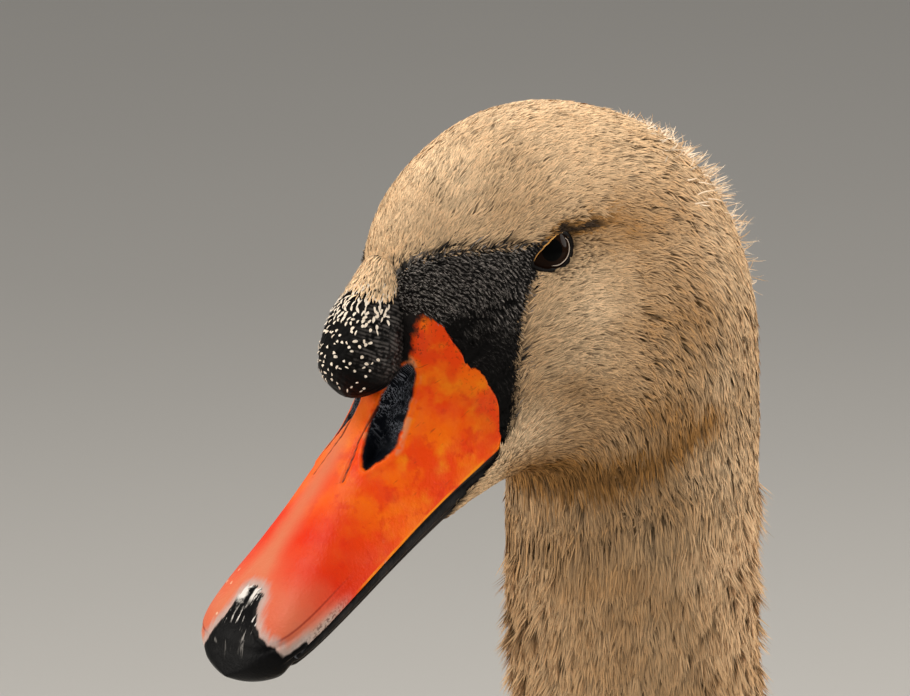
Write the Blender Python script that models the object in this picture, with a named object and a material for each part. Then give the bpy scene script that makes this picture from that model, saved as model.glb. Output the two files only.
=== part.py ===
"""Mute swan (Cygnus olor), an adult male at life size, sitting on its belly with its neck raised.

Metres, +Z up. The bird faces -Y, so its left side is +X. "Forward" below means -Y. The outline of the
whole bird, from the tip of the bill to the root of the tail, is one loft. Each of its sections is a slice
between a point on the underside and a point on the back, and the body is parted into its pieces with thin
cuts between slices.
"""

import math

import bmesh
import bpy
import numpy as np
from mathutils import Vector

MM = 0.001
GAP = 0.3 * MM  # left between pieces that meet

# Where the head is held: the middle between the eyes, ahead of the body's own origin, and the mouth's slope.
EYE_FORWARD, EYE_HEIGHT = 252 * MM, 690 * MM
MIDDLE_BACK = 92.8 * MM  # the middle of the bird's length, behind the place "forward" is counted from
MOUTH_SLOPE = math.radians(33.5)
MOUTH_LEVEL = -34.6  # below the eye, square to the mouth line

# Bill, in mm from the eye along and square to the mouth line: ahead, ridge, underside, half width, and how
# square its upper half is.
BILL = (
    (118.5, -34.0, -39.5, 8.0, 2.3),
    (116.3, -30.0, -40.6, 12.6, 2.5),
    (111.0, -26.6, -41.2, 16.4, 2.6),
    (103.0, -24.0, -41.6, 17.7, 2.5),
    (90.0, -21.2, -42.2, 17.4, 2.3),
    (77.0, -17.9, -42.6, 16.7, 2.2),
    (63.0, -13.8, -43.2, 16.3, 2.1),
    (50.4, -9.4, -44.3, 16.5, 2.0),
)

# Head, in mm from the eye, forward and up: throat point, crown point, half width, height of the widest
# place.
HEAD = (
    (4.0, -61.0, 33.2, -23.0, 17.3, 0.27),
    (-2.0, -60.3, 35.3, -8.5, 18.6, 0.33),
    (-6.0, -59.8, 32.4, 5.0, 20.6, 0.37),
    (-9.0, -59.7, 22.8, 18.0, 23.1, 0.40),
    (-11.5, -60.0, 3.0, 28.8, 26.3, 0.42),
    (-13.3, -60.8, -21.0, 30.5, 28.7, 0.45),
    (-14.4, -62.2, -48.5, 22.0, 29.8, 0.47),
    (-15.2, -64.5, -67.5, 5.5, 30.3, 0.48),
    (-15.8, -68.0, -76.8, -16.4, 30.5, 0.49),
    (-16.3, -74.0, -78.8, -41.5, 30.5, 0.50),
    (-16.5, -82.7, -78.3, -67.3, 30.5, 0.50),
)

# Neck, in mm from the body's origin: middle forward and up, radius. It bows back below the head and
# forward at its root.
NECK = (
    (204, 580, 30.2),
    (199, 530, 30.8),
    (203, 475, 32.6),
    (219, 412, 36.0),
    (238, 350, 41.0),
    (247, 300, 49.0),
)

# Body, in mm: underside point, back point, half width, height of the widest place.
BODY = (
    (309, 240, 181, 281, 70, 0.48),
    (320, 190, 160, 276, 92, 0.47),
    (320, 135, 138, 274, 113, 0.46),
    (300, 78, 112, 275, 130, 0.45),
    (262, 34, 84, 277, 142, 0.44),
    (208, 6, 54, 278, 149, 0.43),
    (140, -6, 22, 278, 153, 0.42),
    (60, -8, -20, 277, 154, 0.42),
    (-25, -8, -68, 273, 152, 0.43),
    (-110, -5, -122, 265, 145, 0.45),
    (-195, 10, -182, 252, 131, 0.48),
    (-268, 42, -245, 236, 110, 0.52),
    (-328, 84, -308, 220, 86, 0.56),
    (-372, 120, -360, 206, 67, 0.58),
    (-402, 145, -398, 194, 55, 0.58),
)

# Relief of the sides of the head, in mm from the eye: forward, up, how far out, how wide.
RELIEF = (
    (-2.5, -1.0, -0.8, 7.5),  # eye socket
    (-3.0, 8.5, 0.8, 7.0),  # brow
    (19.0, -19.0, -1.2, 11.0),  # lore
    (-15.0, -33.0, 2.2, 16.0),  # cheek
    (-25.0, -57.0, -2.2, 9.0),  # groove below the jaw
    (-41.0, -51.0, -2.0, 10.0),  # the same, running back
    (-58.0, -43.0, -1.2, 10.0),
)

EYE_RADIUS = 8.2 * MM
EYE_OUT, EYE_BACK, EYE_DOWN = 15.4 * MM, 3.7 * MM, 1.2 * MM  # its middle from the middle of the head

# Knob over the root of the bill: a turned lobe, in mm from its root, along its own axis and across.
KNOB_ROOT, KNOB_END = (31.5, -5.0), (44.0, -34.0)  # forward and up from the eye
KNOB_PROFILE = ((0, 5.6), (7, 7.4), (12, 8.9), (17, 9.8), (22, 10.0), (26.5, 8.5), (29.6, 5.4), (31, 2.8))

# The seam between head and bill seen from the side, in mm along and square to the mouth line.
BILL_SEAM = ((33.6, -34.6), (31.2, -26.5), (30.2, -19.0), (30.9, -8.0), (31.2, 2.0), (41.0, 6.5))
JAW_SEAM = ((34.0, -35.1), (40.0, -36.6), (48.0, -37.4), (54.5, -39.5), (61.0, -46.0))
NAIL_BACK, NAIL_HALF_WIDTH = 102.5, 6.3  # the hard nail at the tip, in mm
JAW_TIP = 112.0  # where the lower half of the bill ends under the nail

# Folded wing as a shell on the body: place along the loft, lowest and highest angle round it, thickness.
WING = (
    (27.0, 24, 46, 3),
    (27.7, 8, 62, 11),
    (28.8, -2, 72, 18),
    (30.5, -8, 79, 22),
    (32.0, -10, 83, 24),
    (33.5, -8, 85.5, 23),
    (35.0, -3, 87, 20),
    (36.2, 8, 88, 16),
    (37.2, 22, 88, 12),
)
WING_CLEARANCE = 1.5 * MM  # the flat facets of body and wing need this much between them
WING_TIP_REACH = 105 * MM  # how far the primaries reach behind the rest of the wing

# Tail, in mm: forward, lowest, highest, half width.
TAIL = (
    (-402.6, 149.0, 190.0, 54),
    (-420, 156, 187, 62),
    (-443, 163, 184, 65),
    (-466, 167, 181.5, 58),
    (-488, 170, 179.5, 43),
    (-506, 172, 178, 25),
    (-518, 173, 177, 9),
)

# Legs folded under the belly, in mm: the shank lies on the floor beside the keel, the webbed toes ahead.
SHANK = ((84, -226, 62), (90, -196, 34), (97, -168, 14), (104, -120, 9), (108, -59.5, 7.5))
SHANK_RADIUS = 6.2
FOOT_ROOT = (108, -59.0)  # across and forward
TOES = ((-5, 124), (8, 146), (21, 136))  # degrees outwards, length
TOE_HEIGHT, WEB_HEIGHT = 9.5, 3.0
WEB_EDGE = 0.82  # how far the web reaches between the toes, as a share of their length


def head_point(ahead, up):
    """Forward and up, in metres, of a point given in mm from the eye along and square to the mouth line."""
    forward = ahead * math.cos(MOUTH_SLOPE) + up * math.sin(MOUTH_SLOPE)
    height = -ahead * math.sin(MOUTH_SLOPE) + up * math.cos(MOUTH_SLOPE)
    return EYE_FORWARD + forward * MM, EYE_HEIGHT + height * MM


def slices():
    """Every slice: underside forward, up, back forward, up, half width, level, roundness above and below."""
    rows = []
    for ahead, ridge, under, half_width, roundness in BILL:
        level = (MOUTH_LEVEL - under) / (ridge - under)
        ends = *head_point(ahead, under), *head_point(ahead, ridge)
        rows.append((*ends, half_width * MM, level, roundness, 2.6))
    for throat_f, throat_z, crown_f, crown_z, half_width, level in HEAD:
        throat = (EYE_FORWARD + throat_f * MM, EYE_HEIGHT + throat_z * MM)
        crown = (EYE_FORWARD + crown_f * MM, EYE_HEIGHT + crown_z * MM)
        rows.append((*throat, *crown, half_width * MM, level, 2.0, 2.1))
    middle = np.array([(forward, up) for forward, up, radius in NECK]) * MM
    along = np.gradient(middle, axis=0)
    along /= np.linalg.norm(along, axis=1)[:, None]
    for (forward, up), (down_f, down_z), (_, _, radius) in zip(middle, along, NECK):
        reach = (-down_z * radius * MM, down_f * radius * MM)
        front = (forward + reach[0], up + reach[1])
        nape = (forward - reach[0], up - reach[1])
        rows.append((*front, *nape, radius * MM, 0.5, 2.0, 2.0))
    for under_f, under_z, back_f, back_z, half_width, level in BODY:
        rows.append((under_f * MM, under_z * MM, back_f * MM, back_z * MM, half_width * MM, level, 2.1, 2.2))
    return np.array(rows)


SLICES = slices()
LAST = len(SLICES) - 1


def between(t):
    """The slice at place t, counted in slices from the bill's tip, on a smooth curve through all of them."""
    t = np.clip(t, 0, LAST)
    i = np.clip(np.floor(t).astype(int), 0, LAST - 1)
    u = (t - i)[..., None]
    a, b, c, d = (SLICES[np.clip(i + k, 0, LAST)] for k in (-1, 0, 1, 2))
    return 0.5 * (2 * b + (c - a) * u + (2 * a - 5 * b + 4 * c - d) * u**2 + (3 * b - a - 3 * c + d) * u**3)


def power(value, exponent):
    return np.sign(value) * np.abs(value) ** exponent


def relief(forward, up):
    """How far the sides of the head stand out or in, in metres."""
    out = np.zeros_like(forward)
    for ahead, above, reach, width in RELIEF:
        away = np.hypot(forward - EYE_FORWARD - ahead * MM, up - EYE_HEIGHT - above * MM)
        out = out + reach * MM * np.exp(-((away / (width * MM)) ** 2))
    return out


def loft(t, angle):
    """Points of the outline at places t and angles round the slice: -90 degrees below, 0 the bird's left."""
    t, angle = np.broadcast_arrays(np.asarray(t, float), np.asarray(angle, float))
    under_f, under_z, back_f, back_z, half_width, level, above, below = np.moveaxis(between(t), -1, 0)
    rise, side = np.sin(angle), np.cos(angle)
    roundness = np.where(rise > 0, above, below)
    height = level + np.where(rise > 0, 1 - level, level) * power(rise, 2 / roundness)
    across = half_width * power(side, 2 / roundness)
    forward = under_f + (back_f - under_f) * height
    up = under_z + (back_z - under_z) * height
    across = across + relief(forward, up) * side
    return np.stack([across, -forward, np.maximum(up, 0)], -1)


def material(name, colour, roughness):
    found = bpy.data.materials.get(name)
    if found:
        return found
    made = bpy.data.materials.new(name)
    made.use_nodes = True
    shader = made.node_tree.nodes["Principled BSDF"]
    shader.inputs["Base Color"].default_value = (*colour, 1.0)
    shader.inputs["Roughness"].default_value = roughness
    return made


def plumage():
    return material("plumage", (0.71, 0.56, 0.40), 0.75)


def flight_feathers():
    return material("flight_feathers", (0.76, 0.64, 0.50), 0.6)


def orange_horn():
    return material("bill_orange", (0.82, 0.16, 0.02), 0.35)


def black_horn():
    return material("bill_black", (0.02, 0.02, 0.02), 0.4)


def eye_brown():
    return material("eye", (0.02, 0.012, 0.008), 0.05)


def leg_skin():
    return material("leg_skin", (0.035, 0.035, 0.037), 0.55)


def object_from(name, mesh, collection, look=None):
    made = bpy.data.objects.new(name, mesh)
    collection.objects.link(made)
    if look:
        mesh.materials.append(look)
        mesh.shade_smooth()
        mesh.set_sharp_from_angle(angle=math.radians(40))
    else:
        made.hide_render = True
        made.display_type = "WIRE"
    return made


def closed_mesh(name, shape):
    """The bmesh as a mesh whose faces all look outwards."""
    shape.normal_update()
    bmesh.ops.recalc_face_normals(shape, faces=shape.faces)
    mesh = bpy.data.meshes.new(name)
    shape.to_mesh(mesh)
    shape.free()
    return mesh


def mesh_of_rings(name, rings):
    """A closed mesh over rings of points, with a flat cap on the first and the last."""
    shape = bmesh.new()
    loops = [[shape.verts.new(point) for point in ring] for ring in rings]
    for first, second in zip(loops, loops[1:]):
        for i in range(len(first)):
            shape.faces.new((first[i - 1], first[i], second[i], second[i - 1]))
    shape.faces.new(loops[0])
    shape.faces.new(loops[-1])
    bmesh.ops.triangulate(shape, faces=[face for face in shape.faces if len(face.verts) > 4])
    return closed_mesh(name, shape)


def loft_rings(start, end, steps, around, grow=0.0):
    """Rings of the outline from place start to place end, each moved outwards by grow."""
    angles = np.linspace(-0.5, 1.5, around, endpoint=False) * math.pi
    places = np.linspace(start, end, steps)
    points = loft(places[:, None], angles[None, :])
    if grow:
        points = points + grow * loft_normals(places[:, None], angles[None, :])
    return points


def loft_normals(t, angle):
    """Outward unit normals of the outline, from its slopes along and round it."""
    small = 0.01
    along = loft(t + small, angle) - loft(t - small, angle)
    round_it = loft(t, angle + small) - loft(t, angle - small)
    normal = np.cross(along, round_it)
    return normal / np.maximum(np.linalg.norm(normal, axis=-1, keepdims=True), 1e-12)


def trimmed(rings, gap=GAP / 2):
    """The same rings with the first and the last drawn in, for the thin cut between two pieces."""
    rings = rings.copy()
    for end, inner in ((0, 1), (-1, -2)):
        step = rings[inner].mean(axis=0) - rings[end].mean(axis=0)
        rings[end] += gap * step / np.linalg.norm(step)
    return rings


def prism(name, outline, half_width, collection):
    """A side-view outline, in mm along and square to the mouth line, swept across the head as a cutter."""
    curve = bpy.data.curves.new(name, "CURVE")
    curve.dimensions = "2D"
    curve.fill_mode = "BOTH"
    curve.extrude = half_width
    spline = curve.splines.new("POLY")
    spline.points.add(len(outline) - 1)
    for point, (ahead, up) in zip(spline.points, outline):
        point.co = (ahead * MM, up * MM, 0, 1)
    spline.use_cyclic_u = True
    flat = bpy.data.objects.new(name + "_outline", curve)
    collection.objects.link(flat)
    mesh = bpy.data.meshes.new_from_object(flat.evaluated_get(bpy.context.evaluated_depsgraph_get()))
    bpy.data.objects.remove(flat)
    shape = bmesh.new()
    shape.from_mesh(mesh)
    bmesh.ops.remove_doubles(shape, verts=shape.verts, dist=1e-6)
    for vertex in shape.verts:
        forward, up = head_point(vertex.co.x / MM, vertex.co.y / MM)
        vertex.co = Vector((vertex.co.z, -forward, up))
    return object_from(name, closed_mesh(name, shape), collection)


def boolean(target, other, operation):
    modifier = target.modifiers.new(operation.lower() + "_" + other.name, "BOOLEAN")
    modifier.operation = operation
    modifier.object = other
    modifier.solver = "EXACT"


def shifted(outline, ahead, up):
    return tuple((x + ahead, y + up) for x, y in outline)


HEAD_END, HEAD_STEPS, HEAD_AROUND = 18.0, 34, 28


def make_head(parts, cutters):
    """Head, both halves of the bill and its nail, all parted from one loft."""
    gap = GAP / MM
    far, high, low = 140.0, 20.0, -55.0
    throat = (JAW_SEAM[-1][0], low)
    ridge = (52.0, high), (far, high)
    hook = (far, low + 8), (JAW_TIP, low + 8), (JAW_TIP, MOUTH_LEVEL)
    upper_outline = (*BILL_SEAM, *ridge, *hook)
    jaw_outline = (*JAW_SEAM, throat, (JAW_TIP - gap, low), (JAW_TIP - gap, MOUTH_LEVEL - gap))
    seam = (*shifted(BILL_SEAM[::-1], -gap, 0), *shifted(JAW_SEAM, -gap, 0))
    cut_outline = (*seam, throat, (far, low), (far, high), (52.0, high))
    shape = bmesh.new()
    bmesh.ops.create_cone(shape, cap_ends=True, segments=24, radius1=1, radius2=1, depth=60 * MM)
    length = 121.5 - NAIL_BACK
    for vertex in shape.verts:
        ahead = NAIL_BACK + length + vertex.co.y * length
        forward, up = head_point(ahead, -28 + vertex.co.z / MM)
        across = vertex.co.x * (NAIL_HALF_WIDTH + 1.5) * MM
        vertex.co = Vector((across, -forward, up))
    nail_mesh = closed_mesh("nail_cutter", shape)
    wide_nail = nail_mesh.copy()
    nail_cutter = object_from("nail_cutter", nail_mesh, cutters)
    nail_room = object_from("nail_room", wide_nail, cutters)
    middle = sum((v.co for v in wide_nail.vertices), Vector()) / len(wide_nail.vertices)
    for vertex in wide_nail.vertices:
        away = vertex.co - middle
        vertex.co += Vector((math.copysign(GAP, away.x), *(away.yz.normalized() * GAP)))
    upper_cutter = prism("upper_bill_cutter", upper_outline, 60 * MM, cutters)
    jaw_cutter = prism("jaw_cutter", jaw_outline, 60 * MM, cutters)
    face_cutter = prism("face_cutter", cut_outline, 60 * MM, cutters)

    def whole(name, look):
        rings = trimmed(loft_rings(0, HEAD_END, HEAD_STEPS, HEAD_AROUND))
        rings[0] = loft_rings(0, 0.01, 2, HEAD_AROUND)[0]
        return object_from(name, mesh_of_rings(name, rings), parts, look)

    head = whole("head", plumage())
    boolean(head, face_cutter, "DIFFERENCE")
    upper = whole("bill_upper", orange_horn())
    boolean(upper, upper_cutter, "INTERSECT")
    boolean(upper, nail_room, "DIFFERENCE")
    nail = whole("bill_nail", black_horn())
    boolean(nail, upper_cutter, "INTERSECT")
    boolean(nail, nail_cutter, "INTERSECT")
    jaw = whole("bill_lower", black_horn())
    boolean(jaw, jaw_cutter, "INTERSECT")
    return head


def eye_middle(side):
    return Vector((side * EYE_OUT, EYE_BACK - EYE_FORWARD, EYE_HEIGHT - EYE_DOWN))


def sphere(name, radius, middle, segments, collection, look=None):
    shape = bmesh.new()
    bmesh.ops.create_uvsphere(shape, u_segments=segments, v_segments=segments // 2, radius=radius)
    mesh = bpy.data.meshes.new(name)
    shape.to_mesh(mesh)
    shape.free()
    made = object_from(name, mesh, collection, look)
    made.location = middle
    return made


def make_eyes(parts, cutters, head):
    for side, name in ((1, "left"), (-1, "right")):
        sphere("eye_" + name, EYE_RADIUS, eye_middle(side), 14, parts, eye_brown())
        socket = sphere("socket_" + name, EYE_RADIUS + GAP, eye_middle(side), 14, cutters)
        boolean(head, socket, "DIFFERENCE")


def make_knob(parts, cutters):
    """The black knob, turned about its own axis and cut to sit on the forehead."""
    root = Vector((0, -EYE_FORWARD - KNOB_ROOT[0] * MM, EYE_HEIGHT + KNOB_ROOT[1] * MM))
    end = Vector((0, -EYE_FORWARD - KNOB_END[0] * MM, EYE_HEIGHT + KNOB_END[1] * MM))
    axis = (end - root).normalized()
    up = Vector((1, 0, 0))
    side = axis.cross(up)
    around = 20
    turns = [2 * math.pi * i / around for i in range(around)]
    profile = (*KNOB_PROFILE, (KNOB_PROFILE[-1][0] + 0.9, 0.3))
    rings = [
        [root + axis * (along * MM) + (up * math.cos(a) + side * math.sin(a)) * (radius * MM) for a in turns]
        for along, radius in profile
    ]
    knob = object_from("bill_knob", mesh_of_rings("bill_knob", rings), parts, black_horn())
    room = loft_rings(2, 14, 33, HEAD_AROUND, grow=1.5 * GAP)
    boolean(knob, object_from("knob_room", mesh_of_rings("knob_room", room), cutters), "DIFFERENCE")


def make_body(parts):
    """Neck, chest, trunk and rump: lengths of the loft."""
    lengths = (
        ("neck_upper", HEAD_END, 20.6, 7, 24),
        ("neck_middle", 20.6, 22.6, 6, 24),
        ("neck_lower", 22.6, 24.8, 6, 28),
        ("chest", 24.8, 29.6, 9, 36),
        ("trunk", 29.6, 35.8, 9, 36),
        ("rump", 35.8, LAST, 6, 32),
    )
    for name, start, end, steps, around in lengths:
        rings = trimmed(loft_rings(start, end, steps, around))
        object_from(name, mesh_of_rings(name, rings), parts, plumage())


def wing_grid(steps, across, height_share):
    """Points over the folded left wing, at the given share of its thickness, as rows along the body."""
    table = np.array(WING, float)
    stations = np.linspace(0, len(table) - 1, steps)
    place, low, high, thick = (np.interp(stations, range(len(table)), table[:, i]) for i in range(4))
    share = np.linspace(0, 1, across)
    angle = np.radians(low[:, None] + (high - low)[:, None] * share)
    place = np.broadcast_to(place[:, None], angle.shape)
    crown = np.sin(math.pi * np.clip(share, 0.02, 0.98)) ** 0.55
    lift = WING_CLEARANCE + height_share * np.maximum(thick[:, None] * crown * MM, 1.5 * MM)
    return loft(place, angle) + lift[..., None] * loft_normals(place, angle)


def make_wings(parts):
    """Each folded wing is a shell over the side of the body, with the primaries as a blade behind it."""
    steps, across = 17, 11
    outer, inner = wing_grid(steps, across, 1.0), wing_grid(steps, across, 0.0)
    rings = np.concatenate([outer, inner[:, ::-1]], axis=1)
    last = rings[-1]
    middle = last.mean(axis=0)
    back = np.array((-0.018, WING_TIP_REACH, -0.004))
    tip_rings = [last + np.array((0, GAP, 0))]
    for share in (0.25, 0.5, 0.75, 1.0):
        size = np.array((1 - 0.62 * share**1.5, 1, 1 - 0.8 * share))
        tip_rings.append(middle + (last - middle) * size + back * share)
    for side, name in ((1, "left"), (-1, "right")):
        flip = np.array((side, 1, 1))
        object_from("wing_" + name, mesh_of_rings("wing_" + name, rings * flip), parts, plumage())
        tip = mesh_of_rings("primaries_" + name, np.array(tip_rings) * flip)
        object_from("primaries_" + name, tip, parts, flight_feathers())


def make_tail(parts):
    """The tail as one flat fan, thick where its coverts lie and thin at its edge."""
    around = 20
    rings = []
    for forward, low, high, half_width in TAIL:
        ring = []
        for i in range(around):
            angle = 2 * math.pi * i / around
            x = half_width * power(math.cos(angle), 0.8)
            z = (low + high) / 2 + (high - low) / 2 * power(math.sin(angle), 0.9)
            ring.append((x * MM, -forward * MM, z * MM))
        rings.append(ring)
    object_from("tail", mesh_of_rings("tail", rings), parts, flight_feathers())


def foot_rings():
    """The left foot as arcs across it, from its root out to the claws: the top, then back along the sole."""
    turns, lengths = np.array(TOES, float).T
    number = np.linspace(0, 2, 17)  # whole numbers are the toes
    turn = np.radians(np.interp(number, (0, 1, 2), turns))
    nearest = np.abs(number - np.round(number))
    toe = np.exp(-((nearest / 0.14) ** 2))
    point = np.exp(-((nearest / 0.1) ** 2))
    reach = np.interp(number, (0, 1, 2), lengths) * (WEB_EDGE + (1 - WEB_EDGE) * point)
    rings = []
    for share in (0.0, 0.12, 0.35, 0.6, 0.8, 0.93, 1.0):
        away = reach * share
        root = 6.5 * (number - 1) * (1 - share)  # the root is as wide as the ankle
        across = FOOT_ROOT[0] + root + away * np.sin(turn)
        forward = FOOT_ROOT[1] + away * np.cos(turn)
        bulge = (TOE_HEIGHT - WEB_HEIGHT) * (1 - 0.75 * share**2)
        height = WEB_HEIGHT * (1 - 0.6 * share**4) + bulge * np.maximum(toe, 1 - share / 0.3)
        height = height * (1 - 0.4 * share**8)
        top = np.stack([across, -forward, height], -1) * MM
        sole = np.stack([across, -forward, 0 * height], -1) * MM
        rings.append(np.concatenate([top, sole[::-1]]))
    return np.array(rings)


def bar(name, points, radii, sides, collection, look=None):
    """A round bar along points, in mm, with a radius at each, closed at both ends."""
    points = [Vector((x * MM, -forward * MM, up * MM)) for x, forward, up in points]
    rings = []
    for i, (point, radius) in enumerate(zip(points, radii)):
        along = (points[min(i + 1, len(points) - 1)] - points[max(i - 1, 0)]).normalized()
        across = along.cross(Vector((0, 0, 1))).normalized()
        up = across.cross(along)
        turns = [2 * math.pi * j / sides for j in range(sides)]
        rings.append([point + (across * math.cos(a) + up * math.sin(a)) * radius * MM for a in turns])
    return object_from(name, mesh_of_rings(name, rings), collection, look)


def make_legs(parts, cutters):
    """Both legs folded along the floor beside the belly, as a swan's are while it rests."""
    room = object_from("leg_room", mesh_of_rings("leg_room", loft_rings(30, 37, 29, 36, 1.5 * GAP)), cutters)
    for side, name in ((1, "left"), (-1, "right")):
        points = [(side * x, forward, up) for x, forward, up in SHANK]
        leg = bar("leg_" + name, points, [SHANK_RADIUS] * len(points), 14, parts, leg_skin())
        boolean(leg, room, "DIFFERENCE")
        foot = mesh_of_rings("foot_" + name, foot_rings() * np.array((side, 1, 1)))
        object_from("foot_" + name, foot, parts, leg_skin())


def stand_on_origin(collections):
    """Carry everything on one empty that brings the middle of the bird's length over the origin."""
    middle = bpy.data.objects.new("middle", None)
    bpy.context.scene.collection.objects.link(middle)
    middle.location.y = -MIDDLE_BACK
    for collection in collections:
        for piece in collection.objects:
            piece.parent = middle
    bpy.context.view_layer.update()


def clear_scene():
    for old in list(bpy.data.objects):
        bpy.data.objects.remove(old, do_unlink=True)


def main():
    clear_scene()
    parts = bpy.data.collections.new("mute_swan")
    cutters = bpy.data.collections.new("cutters")
    for collection in (parts, cutters):
        bpy.context.scene.collection.children.link(collection)
    head = make_head(parts, cutters)
    make_eyes(parts, cutters, head)
    make_knob(parts, cutters)
    make_body(parts)
    make_wings(parts)
    make_tail(parts)
    make_legs(parts, cutters)
    stand_on_origin((parts, cutters))


main()
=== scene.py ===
import math
import bpy
import numpy as np
from mathutils import Matrix, Vector
from mathutils.kdtree import KDTree


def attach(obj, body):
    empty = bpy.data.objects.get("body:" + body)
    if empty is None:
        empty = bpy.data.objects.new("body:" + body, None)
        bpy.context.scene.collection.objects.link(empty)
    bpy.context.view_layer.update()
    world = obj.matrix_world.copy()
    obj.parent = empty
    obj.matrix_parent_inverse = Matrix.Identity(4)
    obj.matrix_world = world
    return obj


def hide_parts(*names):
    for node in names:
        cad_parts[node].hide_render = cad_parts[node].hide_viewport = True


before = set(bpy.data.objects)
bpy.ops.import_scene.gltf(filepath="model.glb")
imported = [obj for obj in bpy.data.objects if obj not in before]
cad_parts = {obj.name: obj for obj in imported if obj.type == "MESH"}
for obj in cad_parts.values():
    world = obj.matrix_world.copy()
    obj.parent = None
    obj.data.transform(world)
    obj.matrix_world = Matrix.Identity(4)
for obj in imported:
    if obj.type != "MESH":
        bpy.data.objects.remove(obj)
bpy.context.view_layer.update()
print("solids loaded")

mm = 0.001
rng = np.random.default_rng(7)

# the whole bird's outline: one loft from the bill's tip to the root of the tail, in mm, each row a slice
bird = {
    "eye": (252.0, 690.0),  # forward of the middle, and up
    "middleBack": 92.8,  # from there to the middle of the whole length
    "mouthSlope": 33.5,  # degrees down
    "mouthLevel": -34.6,  # below the eye, square to the mouth line
    # ahead, ridge, underside, half width, roundness above
    "bill": (
        (118.5, -34.0, -39.5, 8.0, 2.3),
        (116.3, -30.0, -40.6, 12.6, 2.5),
        (111.0, -26.6, -41.2, 16.4, 2.6),
        (103.0, -24.0, -41.6, 17.7, 2.5),
        (90.0, -21.2, -42.2, 17.4, 2.3),
        (77.0, -17.9, -42.6, 16.7, 2.2),
        (63.0, -13.8, -43.2, 16.3, 2.1),
        (50.4, -9.4, -44.3, 16.5, 2.0),
    ),
    # from the eye, forward and up: throat, crown, half width, height of the widest place
    "head": (
        (4.0, -61.0, 33.2, -23.0, 17.3, 0.27),
        (-2.0, -60.3, 35.3, -8.5, 18.6, 0.33),
        (-6.0, -59.8, 32.4, 5.0, 20.6, 0.37),
        (-9.0, -59.7, 22.8, 18.0, 23.1, 0.40),
        (-11.5, -60.0, 3.0, 28.8, 26.3, 0.42),
        (-13.3, -60.8, -21.0, 30.5, 28.7, 0.45),
        (-14.4, -62.2, -48.5, 22.0, 29.8, 0.47),
        (-15.2, -64.5, -67.5, 5.5, 30.3, 0.48),
        (-15.8, -68.0, -76.8, -16.4, 30.5, 0.49),
        (-16.3, -74.0, -78.8, -41.5, 30.5, 0.50),
        (-16.5, -82.7, -78.3, -67.3, 30.5, 0.50),
    ),
    # middle of the neck forward and up, radius
    "neck": (
        (204, 580, 30.2), (199, 530, 30.8), (203, 475, 32.6), (219, 412, 36.0), (238, 350, 41.0),
        (247, 300, 49.0),
    ),
    # underside, back, half width, height of the widest place
    "body": (
        (309, 240, 181, 281, 70, 0.48),
        (320, 190, 160, 276, 92, 0.47),
        (320, 135, 138, 274, 113, 0.46),
        (300, 78, 112, 275, 130, 0.45),
        (262, 34, 84, 277, 142, 0.44),
        (208, 6, 54, 278, 149, 0.43),
        (140, -6, 22, 278, 153, 0.42),
        (60, -8, -20, 277, 154, 0.42),
        (-25, -8, -68, 273, 152, 0.43),
        (-110, -5, -122, 265, 145, 0.45),
        (-195, 10, -182, 252, 131, 0.48),
        (-268, 42, -245, 236, 110, 0.52),
        (-328, 84, -308, 220, 86, 0.56),
        (-372, 120, -360, 206, 67, 0.58),
        (-402, 145, -398, 194, 55, 0.58),
    ),
    # hollows and swellings on the sides of the head: forward, up, how far out, how wide
    "relief": (
        (-2.5, -1.0, -0.8, 7.5),
        (-3.0, 8.5, 0.8, 7.0),
        (19.0, -19.0, -1.2, 11.0),
        (-15.0, -33.0, 2.2, 16.0),
        (-25.0, -57.0, -2.2, 9.0),
        (-41.0, -51.0, -2.0, 10.0),
        (-58.0, -43.0, -1.2, 10.0),
    ),
}
eyeForward, eyeUp = bird["eye"][0] * mm, bird["eye"][1] * mm
slope = math.radians(bird["mouthSlope"])


def headPoint(ahead, up):  # mm along and square to the mouth line, to metres forward and up
    forward = ahead * math.cos(slope) + up * math.sin(slope)
    return eyeForward + forward * mm, eyeUp + (up * math.cos(slope) - ahead * math.sin(slope)) * mm


def headPlace(points):  # the other way: metres in space to mm along and square to the mouth line
    forward = (-points[..., 1] - bird["middleBack"] * mm - eyeForward) / mm
    up = (points[..., 2] - eyeUp) / mm
    return forward * math.cos(slope) - up * math.sin(slope), forward * math.sin(slope) + up * math.cos(slope)


def sliceTable():
    rows = []
    for ahead, ridge, under, half, roundness in bird["bill"]:
        level = (bird["mouthLevel"] - under) / (ridge - under)
        rows.append((*headPoint(ahead, under), *headPoint(ahead, ridge), half * mm, level, roundness, 2.6))
    for underF, underZ, backF, backZ, half, level in bird["head"]:
        points = (eyeForward + underF * mm, eyeUp + underZ * mm, eyeForward + backF * mm, eyeUp + backZ * mm)
        rows.append((*points, half * mm, level, 2.0, 2.1))
    middles = np.array([row[:2] for row in bird["neck"]], float)
    down = np.gradient(middles, axis=0)
    down /= np.linalg.norm(down, axis=1)[:, None]
    for (forward, up, radius), (downF, downZ) in zip(bird["neck"], down):
        reach = np.array((-downZ, downF)) * radius
        under = ((forward + reach[0]) * mm, (up + reach[1]) * mm)
        back = ((forward - reach[0]) * mm, (up - reach[1]) * mm)
        rows.append((*under, *back, radius * mm, 0.5, 2.0, 2.0))
    for underF, underZ, backF, backZ, half, level in bird["body"]:
        rows.append((underF * mm, underZ * mm, backF * mm, backZ * mm, half * mm, level, 2.1, 2.2))
    return np.array(rows)


slices = sliceTable()
lastSlice = len(slices) - 1


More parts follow.
